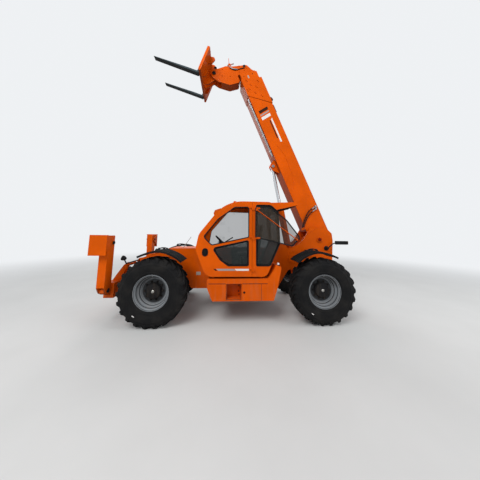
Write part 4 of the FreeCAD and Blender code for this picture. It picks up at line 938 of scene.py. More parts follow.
# Outlines: x, z, corner radius
CAB_OUTLINE = [
    (712, 968, 215), (935, 1520, 150), (880, 1825, 300), (332, 2532, 780), (-763, 2532, 200),
    (-838, 1650, 100), (-545, 968, 150),
]
DOOR_WINDOW = [
    (782, 1772, 60), (607, 1603, 60), (-166, 1775, 30), (-163, 2414, 40), (136, 2408, 60), (488, 2146, 60),
]
LOWER_WINDOW = [(591, 1542, 50), (-160, 1711, 30), (-164, 1187, 30), (260, 1186, 60), (425, 1305, 60)]
SIDE_WINDOW = [
    (-324, 2463, 30), (-640, 2466, 130), (-804, 2321, 60), (-828, 1650, 60), (-623, 1186, 60),
    (-327, 1185, 30),
]
INNER_WINDOW = [
    (700, 1900, 60), (760, 1500, 60), (620, 1200, 60), (-560, 1200, 60), (-770, 1650, 60),
    (-720, 2380, 80), (280, 2400, 120),
]
HINGE_X = -237
HINGE_Y = 1136
HINGE_HEIGHTS = (2385, 1760, 1110)
WINDSCREEN_Y = (340, 1023)
DOOR_STRIPES = [
    # finish, then corners x, z of the stripe
    ("stripe_dark", [(560, 1128), (515, 1088), (470, 1088), (515, 1128)]),
    ("stripe_grey", [(500, 1128), (455, 1088), (100, 1088), (145, 1128)]),
    ("stripe_white", [(130, 1128), (85, 1088), (-170, 1088), (-170, 1128)]),
]


def cab_edge(x0, x1, z0, z1, depth=0.0):
    """The cab's outline within a span, close points, drawn inwards by a depth."""
    corners = offset(rounded(CAB_OUTLINE, 4), depth)
    line = []
    for a, b in zip(corners, corners[1:] + corners[:1]):
        runs = max(1, round((b - a).length / 25))
        line += [a.lerp(b, k / runs) for k in range(runs)]
    return [p for p in line if x0 <= p.x <= x1 and z0 <= p.y <= z1]


WORK_LAMP = (585, 355, 2300)
WORK_LAMP_AIM = (0.9, 0, 0.1)


def stripes(name, rows, sides, body, place=None):
    """Thin painted slabs, each from its finish and corners, on one or both sides of a body."""
    for k, (finish, corners) in enumerate(rows):
        stripe = Shape()
        for low, high in sides:
            stripe.slab([(a, b, 0) for a, b in corners], low, high)
        stripe.piece("%s_stripe_%d" % (name, k), finish, body, place)


class TELEHANDLER_OT_cab_trim(bpy.types.Operator):
    """Build the window seals and border, wiper, roof rails, visor lining, work lamp and hinge bolts"""

    bl_idname = "telehandler.cab_trim"
    bl_label = "Cab trim"

    def execute(self, context):
        seals = Shape().cord_ring(SIDE_WINDOW, 9, CAB_SIDE - 1).cord_ring(INNER_WINDOW, 9, 271)
        low, high = WINDSCREEN_Y
        for edge in (cab_edge(200, 1000, 1500, 2540), cab_edge(-900, -600, 1700, 2300)):
            for y in (low, high):
                seals.tube(at_side(edge, y), 10, 8, 1)
            for end in (edge[0], edge[-1]):
                seals.rod((end.x, low, end.y), (end.x, high, end.y), 10, 10)
        seals.band(CAB_OUTLINE, 13, 1083.2, 1086.8)
        seals.piece("window_seals", "black_rubber", "chassis")
        border = Shape().band(SIDE_WINDOW, 34, 1106.3, 1107.5)
        border.piece("side_window_border", "black_plastic", "chassis")
        wiper = Shape()
        sweep = cab_edge(500, 950, 1560, 2120, -18)
        wiper.tube(at_side(sweep, 660), 5, 8, 1).rod((918, 660, 1556), (952, 660, 1556), 16)
        wiper.tube(at_side(cab_edge(500, 950, 1700, 2160, -10), 672), 6, 6, 1)
        wiper.piece("wiper", "black_plastic", "chassis")
        rail = Shape().tube(at_side(cab_edge(-790, 420, 2300, 2540, -2), 1071), 11, 10, 1)
        for y in (330, 1035):
            rail.tube(at_side(cab_edge(-700, 190, 2500, 2540, -1), y), 7, 8, 1)
        rail.piece("roof_rails", "orange_paint", "chassis", smooth=50)
        lining = Shape()
        lining.slab([(-1248, 2488, 0), (-812, 2387, 0), (-812, 2380, 0), (-1248, 2481, 0)], 345, 1050)
        for y in (480, 690, 900):
            lining.slab([(-1235, 2482, 0), (-830, 2386, 0), (-830, 2372, 0), (-1235, 2468, 0)], y, y + 14)
        lining.piece("visor_lining", "black_plastic", "chassis", bevel=1)
        lamp = Shape()
        lamp.lathe([(20, -60), (40, -52), (50, -20), (50, 0), (46, 2)], WORK_LAMP, WORK_LAMP_AIM, 28)
        lamp.rod((548, 355, 2296), (540, 355, 2226), 8)
        lamp.piece("work_lamp", "black_paint", "chassis")
        lens = Shape().lathe([(46, 1), (44, 7), (30, 13), (0, 16)], WORK_LAMP, WORK_LAMP_AIM, 28)
        lens.piece("work_lamp_lens", "lens_clear", "chassis")
        bolts = Shape()
        for height in HINGE_HEIGHTS:
            for z in (height - 18, height - 6):
                bolts.bolt((HINGE_X - 42, HINGE_Y + 6, z), (0, 1, 0), 13, 8)
        bolts.piece("hinge_bolts", "orange_paint", "chassis")
        return {"FINISHED"}


class TELEHANDLER_OT_door_trim(bpy.types.Operator):
    """Build the door's seals, window border, recessed handle, hinge bolts, stripes and pull"""

    bl_idname = "telehandler.door_trim"
    bl_label = "Door trim"

    def execute(self, context):
        seals = Shape()
        for window in (DOOR_WINDOW, LOWER_WINDOW):
            seals.cord_ring(window, 9, CAB_SIDE - 1)
        seals.band(DOOR_WINDOW, 10, 1092, 1116)
        seals.piece("door_seals", "black_rubber", "door")
        border = Shape().band(LOWER_WINDOW, 30, 1108.3, 1109.5)
        border.piece("lower_window_border", "black_plastic", "door")
        edge = rounded(rect(676, 1375, 796, 1540, 58))
        dish = Shape()
        # distance inwards, Y
        steps = [(0, 1120.5), (0, 1130), (5, 1134), (12, 1134), (17, 1128), (24, 1122.5), (40, 1121)]
        dish.loops([at_side(offset(edge, inset), y) for inset, y in steps])
        dish.slab(rect(712, 1418, 760, 1500, 14), 1121, 1131)
        dish.lathe([(11, 0), (11, 8), (9, 10), (3, 10), (3, 6)], (736, 1121, 1402), (0, 1, 0), 20)
        dish.piece("recessed_handle", "black_plastic", "door", bevel=1, smooth=40,
                   replaces=("door_handle",))
        bolts = Shape()
        for z in HINGE_HEIGHTS:
            for x in (HINGE_X + 24, HINGE_X + 44):
                bolts.bolt((x, HINGE_Y + 6, z + 18), (0, 1, 0), 13, 8)
        bolts.piece("door_hinge_bolts", "orange_paint", "door")
        stripes("door", DOOR_STRIPES, [(CAB_SIDE - 0.4, CAB_SIDE + 0.6)], "door")
        inside = Shape().band(LOWER_WINDOW, 12, 1080, 1088, outward=14)
        inside.rod((600, 1082, 1500), (180, 1082, 1760), 11)
        for x, z in ((600, 1500), (180, 1760)):
            inside.rod((x, 1082, z), (x, 1089, z), 14)
        inside.piece("door_pull", "black_plastic", "door")
        return {"FINISHED"}


class TELEHANDLER_OT_open_window(bpy.types.Operator):
    """Build the upper door pane, swung back on its hinges beside the cab, with its stay"""

    bl_idname = "telehandler.open_window"
    bl_label = "Open window"

    def execute(self, context):
        swung = [(2 * HINGE_X - x, z, radius) for x, z, radius in reversed(DOOR_WINDOW)]
        pane = Shape().slab(swung, 1148, 1154)
        pane.piece("swung_pane", "brown_glass", "chassis", replaces=("open_window",))
        seal = Shape().band(swung, 24, 1143, 1159, outward=13)
        seal.piece("swung_pane_seal", "black_rubber", "chassis", bevel=2)
        top, foot = (-330, 2350), (-1190, 1730)
        stay = Shape().rod((top[0], 1168, top[1]), (foot[0], 1168, foot[1]), 10)
        for x, z in (top, foot):
            stay.slab(rect(x - 19, z - 19, x + 19, z + 19, 8), 1155, 1160)
            stay.rod((x, 1158, z), (x, 1176, z), 13)
        for z in HINGE_HEIGHTS[:2]:
            for back, ahead, half, radius, low, high in ((-372, -300, 24, 10, 1120.5, 1147),
                                                         (-400, -320, 17, 12, 1155, 1162)):
                stay.slab([(back, z - half, radius), (ahead, z - half, 4), (ahead, z + half, 4),
                           (back, z + half, radius)], low, high)
        stay.piece("swung_pane_stay", "orange_paint", "chassis", bevel=1.5)
        knobs = Shape()
        for z in HINGE_HEIGHTS[:2]:
            for x in (-338, -376):
                knobs.bolt((x, 1162, z), (0, 1, 0), 16, 9)
        knobs.piece("swung_pane_bolts", "orange_paint", "chassis")
        return {"FINISHED"}


def cushion(width, depth, height, channels):
    """Crowned foam pad about its middle: sides drawn in between its corners, bolsters and sewn channels."""
    shape = Shape()
    count = 36
    places = [math.sin(math.pi / 2 * (2 * k / count - 1)) for k in range(count + 1)]
    for top in (1, -1):
        grid = []
        for u in places:
            row = []
            for v in places:
                x = depth / 2 * u * (1 - 0.05 * v ** 6) * (1 - 0.03 * (1 - v * v))
                y = width / 2 * v * (1 - 0.05 * u ** 6) * (1 - 0.03 * (1 - u * u))
                crown = ((1 - u ** 8) * (1 - v ** 8)) ** 0.42
                lift = crown * (0.80 if top > 0 else 0.62)
                if top > 0:
                    lift += 0.14 * crown * min(1, max(0, (abs(v) - 0.55) / 0.25))
                    for middle in channels:
                        lift -= 0.10 * crown * math.exp(-((u - middle) / 0.035) ** 2) * (abs(v) < 0.62)
                    lift -= 0.12 * crown * math.exp(-((abs(v) - 0.62) / 0.03) ** 2)
                row.append(shape.mesh.verts.new((x, y, top * height / 2 * lift)))
            grid.append(row)
        for i in range(count):
            for j in range(count):
                shape.mesh.faces.new((grid[i][j], grid[i + 1][j], grid[i + 1][j + 1], grid[i][j + 1]))
    bmesh.ops.remove_doubles(shape.mesh, verts=shape.mesh.verts, dist=0.05)
    return shape


SEAT_Y = 675
BACKREST_ANGLE = 98.7
FLOOR_Z = 1009


class TELEHANDLER_OT_cab_inside(bpy.types.Operator):
    """Build the seat with its bellows, the levers, pedals and floor mat inside the cab"""

    bl_idname = "telehandler.cab_inside"
    bl_label = "Inside the cab"

    def execute(self, context):
        base = moved(-195, SEAT_Y, 1386)
        back = moved(-434, SEAT_Y, 1742) @ turned(BACKREST_ANGLE)
        bottom = cushion(500, 500, 104, (-0.35, 0.05, 0.45))
        bottom = bottom.piece("seat_cushion", "seat_cloth", "chassis", base, smooth=180,
                              replaces=("cab_seat",))
        backrest = cushion(462, 640, 112, (-0.6, -0.3, 0, 0.3, 0.6))
        backrest = backrest.piece("seat_backrest", "seat_cloth", "chassis", back, smooth=180)
        for pad in (bottom, backrest):
            pad.modifiers.new("rounding", "SUBSURF").render_levels = 1
        rows = []
        for k in range(17):
            share = k / 16
            half = 215 - 40 * share - (14 if k % 2 else 0)
            z = FLOOR_Z + 30 + share * 290
            rows.append([(-195 + ahead * (half - 5), SEAT_Y + aside * half, z)
                         for ahead, aside in ((-1, -1), (1, -1), (1, 1), (-1, 1))])
        Shape().loops(rows).piece("seat_bellows", "black_rubber", "chassis", smooth=20)
        trim = Shape().block(-440, 40, SEAT_Y - 225, SEAT_Y + 225, FLOOR_Z, FLOOR_Z + 30)
        trim.slab([(-330, 1040, 30), (160, 1040, 30), (190, 1480, 40), (-330, 1530, 40)], 340, 408)
        trim.rod((120, 374, 1475), (150, 374, 1610), 9).lathe(
            [(10, 0), (20, 12), (24, 40), (20, 66), (8, 74)], (150, 374, 1605), (0.2, 0, 1), 20)
        for y in (560, 780):
            trim.slab([(640, 1090, 8), (700, 1180, 8), (690, 1186, 4), (630, 1096, 4)], y - 35, y + 35)
            trim.rod((670, y, 1130), (700, y, 1020), 8)
        trim.rod((505, 700, 1640), (400, 830, 1660), 6)
        trim.lathe([(6, 0), (13, 10), (13, 30), (6, 38)], (400, 830, 1660), (-1, 1, 0.1), 14)
        trim.piece("cab_controls", "black_plastic", "chassis", bevel=2)
        mat = Shape().block(-500, 600, 320, 1065, FLOOR_Z, FLOOR_Z + 5)
        for k in range(18):
            mat.block(60 + k * 30, 72 + k * 30, 340, 1050, FLOOR_Z + 5, FLOOR_Z + 8)
        mat.piece("floor_mat", "black_rubber", "chassis")
        return {"FINISHED"}


# Box under the cab, with the step, and the engine side

MARKER_LAMP = (-808, 1040, 1178)
HOOD_STRIPES = [
    # finish, then corners x, z of the stripe
    ("stripe_dark", [(470, 1226), (540, 1226), (585, 1262), (515, 1262)]),
    ("stripe_grey", [(-260, 1226), (440, 1226), (485, 1262), (-215, 1262)]),
    ("stripe_white", [(-760, 1226), (-290, 1226), (-245, 1262), (-715, 1262)]),
]


class TELEHANDLER_OT_side_box(bpy.types.Operator):
    """Build the box's seams, the painted shade of its groove, lock, step plate and marker lamp"""

    bl_idname = "telehandler.side_box"
    bl_label = "Side box"

    def execute(self, context):
        # painted shade: the long dark strip stands where the box has a groove; the other strips are its seams
        seams = Shape().slab(rect(-560, 824, 649, 836, 4), CAB_SIDE - 0.5, CAB_SIDE + 1)
        for x in (-36, 297, -434):
            seams.slab(rect(x - 3, 497, x + 3, 824), CAB_SIDE - 0.5, CAB_SIDE + 0.8)
        seams.band(rect(-22, 520, 283, 830), 5, 1112, 1120.6)
        seams.piece("box_seams_and_groove_shade", "black_paint", "chassis")
        lock = Shape()
        lock.lathe([(22, 0), (22, 4), (18, 7), (5, 7), (5, 4)], (-81, CAB_SIDE, 661), (0, 1, 0), 24)
        for x, z in ((15, 734), (23, 620), (11, 556)):
            lock.bolt((x, 890, z), (0, 1, 0), 18, 10)
        lock.piece("box_lock", "black_plastic", "chassis")
        tread = Shape().block(-14, 276, 898, 1108, 520, 524)
        for k in range(7):
            tread.slab(rect(-2 + k * 40, 905, 22 + k * 40, 1100, 5), 524, 530, "z")
        tread.piece("step_tread", "orange_paint", "chassis", bevel=1)
        rim = Shape().band(rect(-22, 520, 283, 830), 14, CAB_SIDE, CAB_SIDE + 3, outward=15)
        for x in (-280, 520):
            rim.band(rect(x - 130, 540, x + 90, 790, 16), 6, CAB_SIDE - 0.5, CAB_SIDE + 1)
        rim.piece("step_rim", "orange_paint", "chassis", bevel=1)
        foot = Shape().lathe([(34, 0), (34, 16), (28, 20)], MARKER_LAMP, (0, 0, 1), 28)
        foot.piece("marker_lamp_foot", "black_plastic", "chassis")
        dome = Shape().lathe([(27, 19), (28, 34), (24, 52), (13, 63), (0, 66)], MARKER_LAMP, (0, 0, 1), 28)
        dome.piece("marker_lamp", "lens_clear", "chassis")
        return {"FINISHED"}


class TELEHANDLER_OT_engine_side(bpy.types.Operator):
    """Build the hood's mesh, latches and stripes, and the pod's seams, filler cap and bolts"""

    bl_idname = "telehandler.engine_side"
    bl_label = "Engine side"

    def execute(self, context):
        mesh = Shape()
        for x0, x1 in ((-500, -110), (-90, 300)):
            mesh.block(x0 - 8, x1 + 8, -1092, -1089, 1038, 1207)
            for k in range(int((x1 - x0) / 26)):
                mesh.rod((x0 + 13 + k * 26, -1094, 1040), (x0 + 13 + k * 26, -1094, 1205), 2.5, 6)
        mesh.piece("grille_mesh", "black_plastic", "engine_hood")
        trim = Shape()
        for x in (-700, 600):
            trim.slab(rect(x, 1030, x + 90, 1090, 12), -1127, -1120)
            trim.slab(rect(x + 14, 1042, x + 76, 1066, 8), -1136, -1126)
        trim.piece("hood_latches", "black_plastic", "engine_hood", bevel=1.5)
        stripes("hood", HOOD_STRIPES, [(-CAB_SIDE - 0.7, -CAB_SIDE + 0.4)], "engine_hood")
        seams = Shape().block(-898, 898, -1119, -1112, 1000.3, 1004.5)
        for x in (-320, 320):
            seams.block(x - 3, x + 3, -1120.8, -1119.5, 665, 1000)
        seams.block(-898, 898, -1120.8, -1119.5, 662, 667)
        seams.piece("pod_seams", "black_rubber", "chassis")
        cap = Shape()
        cap.lathe([(52, 0), (52, 8), (44, 12), (44, 30), (38, 36), (10, 36)], (640, -CAB_SIDE, 850),
                  (0, -1, 0), 32)
        cap.block(598, 682, -1160, -1152, 842, 858)
        cap.piece("filler_cap", "black_plastic", "chassis", bevel=1)
        bolts = Shape()
        for x in (-860, -620, -360, -280, 280, 360, 620, 860):
            for z in (700, 975):
                bolts.bolt((x, -CAB_SIDE, z), (0, -1, 0), 14, 7)
        bolts.piece("pod_bolts", "plated_steel", "chassis")
        return {"FINISHED"}


# Chassis

# Pins through the side plates: x, z, distance of the outer face from the middle, radius
PLATE_PINS = [(-2095, 1718, 352, 44), (-1410, 1270, 344, 34)]
BOLT_RINGS = [
    # x, z, distance of the face, radius of the ring, bolts, width across flats
    (-1410, 1270, 336, 140, 10, 26),
    (-2095, 1718, 344, 63, 6, 16),
]

# The bar between a side plate and its nose gusset: x, z
NOSE_PIN = (2492, 1130)
# Weld seams on the side plates: x, z
PLATE_SEAMS = [
    [(2200, 1262), (2050, 1330), (1900, 1376), (1750, 1392)],
    [(-1990, 1985), (-1700, 1800), (-1560, 1640), (-1400, 1530), (-1250, 1500)],
]


class TELEHANDLER_OT_chassis(bpy.types.Operator):
    """Build the chassis's pins, bolt rings, blank plates, rims, seams, nose gussets and tow hitch"""

    bl_idname = "telehandler.chassis"
    bl_label = "Chassis details"

    def execute(self, context):
        pins, bolts, rings, plates, seams = Shape(), Shape(), Shape(), Shape(), Shape()
        for side in (1, -1):
            axis = (0, side, 0)
            for x, z, y, radius in PLATE_PINS:
                pins.pin_end((x, side * (y - 1), z), axis, radius, 8)
            for x, z, y, ring, count, across in BOLT_RINGS:
                for along, up in circle(ring, count, 0.5):
                    bolts.bolt((x + along, side * y, z + up), axis, across, 14)
            seam_y = side * (PLATE_SIDE + 1)
            rings.lathe([(60, 0), (60, 10), (52, 14), (30, 14), (28, 6)], (-2260, side * 341, 1500), axis, 36)
            rings.lathe([(23, -1), (34, 0), (38, 4), (34, 8), (25, 6)], (2390, seam_y, 1130), axis, 32, True)
            plates.slab(rect(923, 829, 1033, 909, 6), *sided(side, PLATE_SIDE, PLATE_SIDE + 2.5))
            for x, z in ((931, 837), (1025, 837), (1025, 901), (931, 901)):
                bolts.lathe([(5, 0), (4, 3), (0, 4)], (x, side * (PLATE_SIDE + 2), z), axis, 12)
            for line in PLATE_SEAMS:
                seams.tube([(x, seam_y, z) for x, z in line], 5, 6)
            seams.rod((-560, seam_y, 560), (880, seam_y, 560), 5, 6)
            bolts.bolt((-1836, side * 300, 1985), (0, 0, 1), 30, 16)
        pins.piece("pin_ends", "pin_red", "chassis", smooth=40)
        rings.piece("pin_rings", "black_paint", "chassis", smooth=40)
        plates.piece("blank_plates", "plate_pale", "chassis", bevel=0.6)
        seams.piece("chassis_welds", "orange_paint", "chassis", smooth=60)
        nose = Shape()
        for side in (1, -1):
            nose.slab([(2605, 802, 0), (2780, 802, 0), (2700, 930, 60), (2570, 1120, 60), (2470, 1205, 30),
                       (2440, 1130, 30), (2540, 1000, 60)], *sided(side, 640, 664))
            pin_end = (NOSE_PIN[0], side * 670, NOSE_PIN[1])
            nose.rod((NOSE_PIN[0], side * (PLATE_SIDE - 1), NOSE_PIN[1]), pin_end, 34)
            cheek = [(331, 802, 0), (660, 802, 0), (660, 1010, 60), (331, 1080, 0)]
            nose.slab([(side * y, z, radius) for y, z, radius in cheek], 2612, 2630, "x")
            bolts.bolt(pin_end, (0, side, 0), 34, 18)
        nose.piece("nose_gussets", "orange_paint", "chassis", bevel=2)
        bolts.piece("chassis_bolts", "orange_paint", "chassis")
        rod = Shape().rod((1389, 292, 1462), (1195, 292, 1752), 6)
        rod.rod((1396, 292, 1452), (1384, 292, 1472), 13)
        rod.piece("marker_rod", "plated_steel", "chassis")
        hitch = Shape()
        for z in (1045, 1125):
            hitch.slab([(-2402, -70, 0), (-2402, 70, 0), (-2490, 50, 30), (-2490, -50, 30)], z, z + 22, "z")
        hitch.block(-2412, -2400, -110, 110, 1010, 1180)
        hitch.rod((-2452, 0, 1020), (-2452, 0, 1178), 16)
        hitch.lathe([(24, 0), (24, 8), (12, 14)], (-2452, 0, 1176), (0, 0, 1), 20)
        hitch.piece("tow_hitch", "black_paint", "chassis", bevel=2)
        return {"FINISHED"}


# Boom

# Distances of the outer section's, its collar's and the head's faces from the boom's middle
BOOM_SIDE = 210
COLLAR_SIDE = 222
HEAD_SIDE = 125
# s runs along the boom from its pivot, t across it in height
BOOM_BOLTS = [
    # s, t on the collar's side
    (4907, -72), (4754, -10), (4641, 131), (4648, -84), (4477, 32), (4800, 240), (4330, 180), (4620, -150),
]
# Welds on the boom's sides: radius, then points s, t
BOOM_WELDS = [
    (6, [(4431, -186), (4012, 378)]),
    (4, [(1500, -50), (1760, 60), (2120, 92), (2480, 96), (2800, 10)]),
]
# Stripes on the boom's sides: finish, then corners s, t
BOOM_STRIPES = [
    ("stripe_white", [(2850, 150), (3560, 150), (3600, 196), (2850, 196)]),
    ("stripe_dark", [(2980, 96), (3530, 96), (3556, 128), (2980, 128)]),
    ("stripe_white", [(3610, -90), (3700, -90), (3760, 196), (3670, 196)]),
    ("stripe_grey", [(3740, -90), (3780, -90), (3840, 196), (3800, 196)]),
    ("stripe_dark", [(3815, -90), (3905, -90), (3965, 196), (3875, 196)]),
]

BOOM_MOUTHS = [
    # name, body, half width, bottom and top of the section, place of its mouth
    ("a", "boom", BOOM_SIDE, -190, 380, 4872),
    ("b", "mid_a", 183, -158, 348, 5122),
    ("c", "mid_b", 156, -126, 316, 5182),
]
# Bolts on the head's sides: s, t
HEAD_BOLTS = [(5300, 40), (5340, 130), (5290, -120), (5470, -60), (5250, -420), (5330, -640), (5520, -560)]


class TELEHANDLER_OT_boom(bpy.types.Operator):
    """Build the boom's bolts, welds, stripes, wear pads, guide roller and lug pins"""

    bl_idname = "telehandler.boom"
    bl_label = "Boom details"

    def execute(self, context):
        bolts, welds = Shape(), Shape()
        for side in (1, -1):
            axis = (0, side, 0)
            for s, t in BOOM_BOLTS:
                for along, up in ((0, 0), (-46, 12)):
                    bolts.bolt((s + along, side * COLLAR_SIDE, t + up), axis, 24, 13)
            y = side * (BOOM_SIDE + 0.5)
            for start, end, t in ((580, 4430, -184), (90, 4005, 374)):
                welds.rod((start, y, t), (end, y, t), 4, 6)
            for radius, line in BOOM_WELDS:
                welds.tube([(s, side * (BOOM_SIDE + 1), t) for s, t in line], radius, 6)
        for k in range(6):
            bolts.bolt((4200 + k * 110, (-1) ** k * 120, 392), (0, 0, 1), 22, 12)
        bolts.piece("collar_bolts", "orange_paint", "boom", BOOM)
        welds.piece("boom_welds", "orange_paint", "boom", BOOM, smooth=60)
        faces = [sided(side, BOOM_SIDE - 0.4, BOOM_SIDE + 0.7) for side in (1, -1)]
        stripes("boom", BOOM_STRIPES, faces, "boom", BOOM)
        patch = Shape().slab(rect(4960, 30, 5060, 72, 6), 182, 184.2)
        patch.piece("mid_plate", "plate_pale", "mid_a", BOOM)
        roller = Shape().lathe([(38, 0), (43, 4), (43, 20), (37, 30), (37, 48), (43, 58), (43, 74), (38, 78)],
                               (4130, 125, 412), (0, 1, 0), 28)
        for y in (116, 202.2):
            roller.slab([(4040, 388, 0), (4220, 388, 0), (4178, 431, 18), (4082, 431, 18)], y - 0.5, y + 9)
        roller.slab(rect(3730, 407, 3960, 380), 98, 192)
        roller.bolt((4130, 210, 408), (0, 1, 0), 26, 12)
        roller.piece("guide_roller", "black_rubber", "boom", BOOM, bevel=1)
        pins = Shape()
        for side in (1, -1):
            pins.pin_end((2308, side * 93, -283), (0, side, 0), 42, 10)
        pins.piece("lift_eye_pins", "pipe_steel", "boom", BOOM)
        for name, body, half, low, high, mouth in BOOM_MOUTHS:
            pads = Shape()
            for y in (-half + 44, half - 84):
                pads.block(mouth - 8, mouth + 5, y, y + 40, high - 31, high - 11)
            for t in (low + 90, high - 150):
                for side in (1, -1):
                    pads.bolt((mouth - 60, side * half, t), (0, side, 0), 16, 6)
            pads.piece("pad_screws_" + name, "black_plastic", body, BOOM)
        return {"FINISHED"}


class TELEHANDLER_OT_boom_head(bpy.types.Operator):
    """Build the head's pins, bolts, coupler caps and pipes"""

    bl_idname = "telehandler.boom_head"
    bl_label = "Boom head"

    def execute(self, context):
        pins, bolts = Shape(), Shape()
        for side in (1, -1):
            axis = (0, side, 0)
            pins.pin_end((5412.4, side * 136, 82.5), axis, 38, 9)
            pins.pin_end((5481.7, side * 138, -834.8), axis, 52, 11)
            for s, t in HEAD_BOLTS:
                bolts.bolt((s, side * HEAD_SIDE, t), axis, 22, 12)
        bolts.piece("head_bolts", "orange_paint", "head", BOOM)
        pins.piece("head_pins", "black_paint", "head", BOOM, smooth=40)
        couplers = Shape()
        for t in (-372, -210):
            couplers.lathe([(18, -4), (18, 12), (20, 14), (20, 24), (14, 30), (14, 38)], (5605, 110, t),
                           (0, 0, 1), 20)
        couplers.rod((5640, 110, -306), (5660, 110, -300), 12)
        couplers.piece("couplers", "plated_steel", "head", BOOM)
        lines = Shape()
        for t, bend in ((-360, 5560), (-330, 5540), (-300, 5520)):
            lines.tube([(5560, 131, t), (bend - 40, 133, t + 20), (bend - 110, 134, t + 80),
                        (bend - 150, 133, t + 190)], 6, 8)
        lines.piece("head_pipes", "pipe_steel", "head", BOOM, smooth=60)
        return {"FINISHED"}


# Distance of a fork's middle from the carriage's
FORK_Y = 430


class TELEHANDLER_OT_fork_carriage(bpy.types.Operator):
    """Build the carriage's pins, gussets, cross plates, stops and fork locks"""

    bl_idname = "telehandler.fork_carriage"
    bl_label = "Fork carriage"

    def execute(self, context):
        pins, steel, locks = Shape(), Shape(), Shape()
        for side in (1, -1):
            axis = (0, side, 0)
            pins.pin_end((0, side * 138, 0), axis, 46, 10)
            pins.pin_end((41.7, side * 79, 218.1), axis, 40, 9)
            steel.slab([(180, 270, 0), (180, 120, 0), (110, 250, 20)], *sided(side, 66, 74))
            steel.block(180, 232, *sided(side, 582, 598), -462, -425)
            steel.slab([(182, -340, 0), (182, -160, 0), (140, -330, 20)], *sided(side, 62, 88))
            steel.block(178, 188, *sided(side, 88, 582), -352, 202)
            steel.slab([(180, 276, 0), (96, 300, 60), (28, 236, 60), (70, 96, 50), (180, 40, 0)],
                       *sided(side, 300, 324))
            steel.slab([(180, -110, 0), (96, -170, 40), (110, -330, 40), (180, -400, 0)],
                       *sided(side, 300, 324))
            locks.rod((206, side * FORK_Y, 276), (206, side * FORK_Y, 316), 16)
            locks.block(186, 268, *sided(side, FORK_Y - 22, FORK_Y + 22), 286, 298)
            locks.bolt((206, side * FORK_Y, 314), (0, 0, 1), 26, 14)
        pins.piece("carriage_pins", "black_paint", "carriage", CARRIAGE, smooth=40)
        steel.piece("carriage_gussets", "orange_paint", "carriage", CARRIAGE, bevel=2)
        locks.piece("fork_locks", "black_paint", "carriage", CARRIAGE, bevel=1)
        return {"FINISHED"}


# Stabilisers and lamps

STABILISER_X = 2715
STABILISER_Y = 1035
FRONT_LAMP = (2490, 880, 1305.5)
FRONT_LAMP_AIM = (32, 0, 8)
REAR_LAMP_Y = 420
# Colour, bottom and top of each lens on a rear lamp
REAR_LENSES = [("amber", 1662, 1686), ("red", 1632, 1659), ("clear", 1604, 1629)]


class TELEHANDLER_OT_stabilisers(bpy.types.Operator):
    """Build the pin ends, ribs and welds of the stabiliser legs and feet"""

    bl_idname = "telehandler.stabilisers"
    bl_label = "Stabilisers"

    def execute(self, context):
        for hand, side in HANDS:
            place = handed(MACHINE, side)
            pins, welds, ribs = Shape(), Shape(), Shape()
            for end in (1, -1):
                axis = (end, 0, 0)
                pins.pin_end((STABILISER_X + end * 86, STABILISER_Y, 690), axis, 42, 9)
                pins.pin_end((STABILISER_X + end * 116, STABILISER_Y, 1630), axis, 36, 9)
                for y in (944, 1146):
                    welds.rod((STABILISER_X + end * 74, y, 905), (STABILISER_X + end * 74, y, 1765), 3.5, 6)
            rib = [(1222, 1500, 0), (1235, 1500, 0), (1235, 1760, 0), (1222, 1740, 0)]
            for x in (2660, 2810):
                ribs.slab(rib, x, x + 10, "x")
            ribs.band(rect(2612, 1398, 2928, 1780, 8), 10, 1247, 1249.9)
            pins.piece("stabiliser_pins_" + hand, "black_paint", "leg_" + hand, place, smooth=40)
            welds.piece("stabiliser_welds_" + hand, "orange_paint", "leg_" + hand, place)
            ribs.piece("foot_ribs_" + hand, "orange_paint", "foot_" + hand, place, bevel=1)
            cover = Shape().slab(rect(952, 1000, 1128, 1130, 10), 2789.5, 2793, "x")
            for y, z in ((966, 1014), (1114, 1014), (1114, 1116), (966, 1116)):
                cover.bolt((2793, y, z), (1, 0, 0), 13, 7)
            cover.piece("leg_cover_" + hand, "orange_paint", "leg_" + hand, place)
        return {"FINISHED"}


class TELEHANDLER_OT_lamps(bpy.types.Operator):
    """Build the front lamps' lenses and rims, and the rear lamps on their arms"""

    bl_idname = "telehandler.lamps"
    bl_label = "Lamps"

    def execute(self, context):
        for hand, side in HANDS:
            place = handed(MACHINE, side)
            lens = Shape()
            lens.lathe([(45, -1), (44, 4), (36, 9), (18, 12), (0, 13)], FRONT_LAMP, FRONT_LAMP_AIM, 32)
            lens.piece("front_lens_" + hand, "lens_clear", "chassis", place)
            rim = Shape()
            rim.lathe([(45, 0), (51, -1), (52, 4), (46, 6)], FRONT_LAMP, FRONT_LAMP_AIM, 32, True)
            rim.piece("front_lamp_rim_" + hand, "black_plastic", "chassis", place)
            arm = Shape().rod((-2260, 343, 1500), (-2260, REAR_LAMP_Y + 20, 1500), 26)
            bend = [(-2260, 1500), (-2330, 1560), (-2400, 1618), (-2470, 1640)]
            arm.tube([(x, REAR_LAMP_Y, z) for x, z in bend], 14, 12)
            arm.slab(rect(-2792, 1600, -2462, 1690, 14), REAR_LAMP_Y - 20, REAR_LAMP_Y + 20)
            arm.piece("rear_lamp_" + hand, "black_paint", "chassis", place, bevel=3,
                      replaces=("rear_lamps",) if side > 0 else ())
            for name, low, high in REAR_LENSES:
                face = rect(REAR_LAMP_Y - 16, low, REAR_LAMP_Y + 16, high, 4)
                lens = Shape().slab(face, -2798, -2786, "x")
                lens.piece("rear_lens_%s_%s" % (name, hand), "lens_" + name, "chassis", place, bevel=1)
        return {"FINISHED"}


# Stage

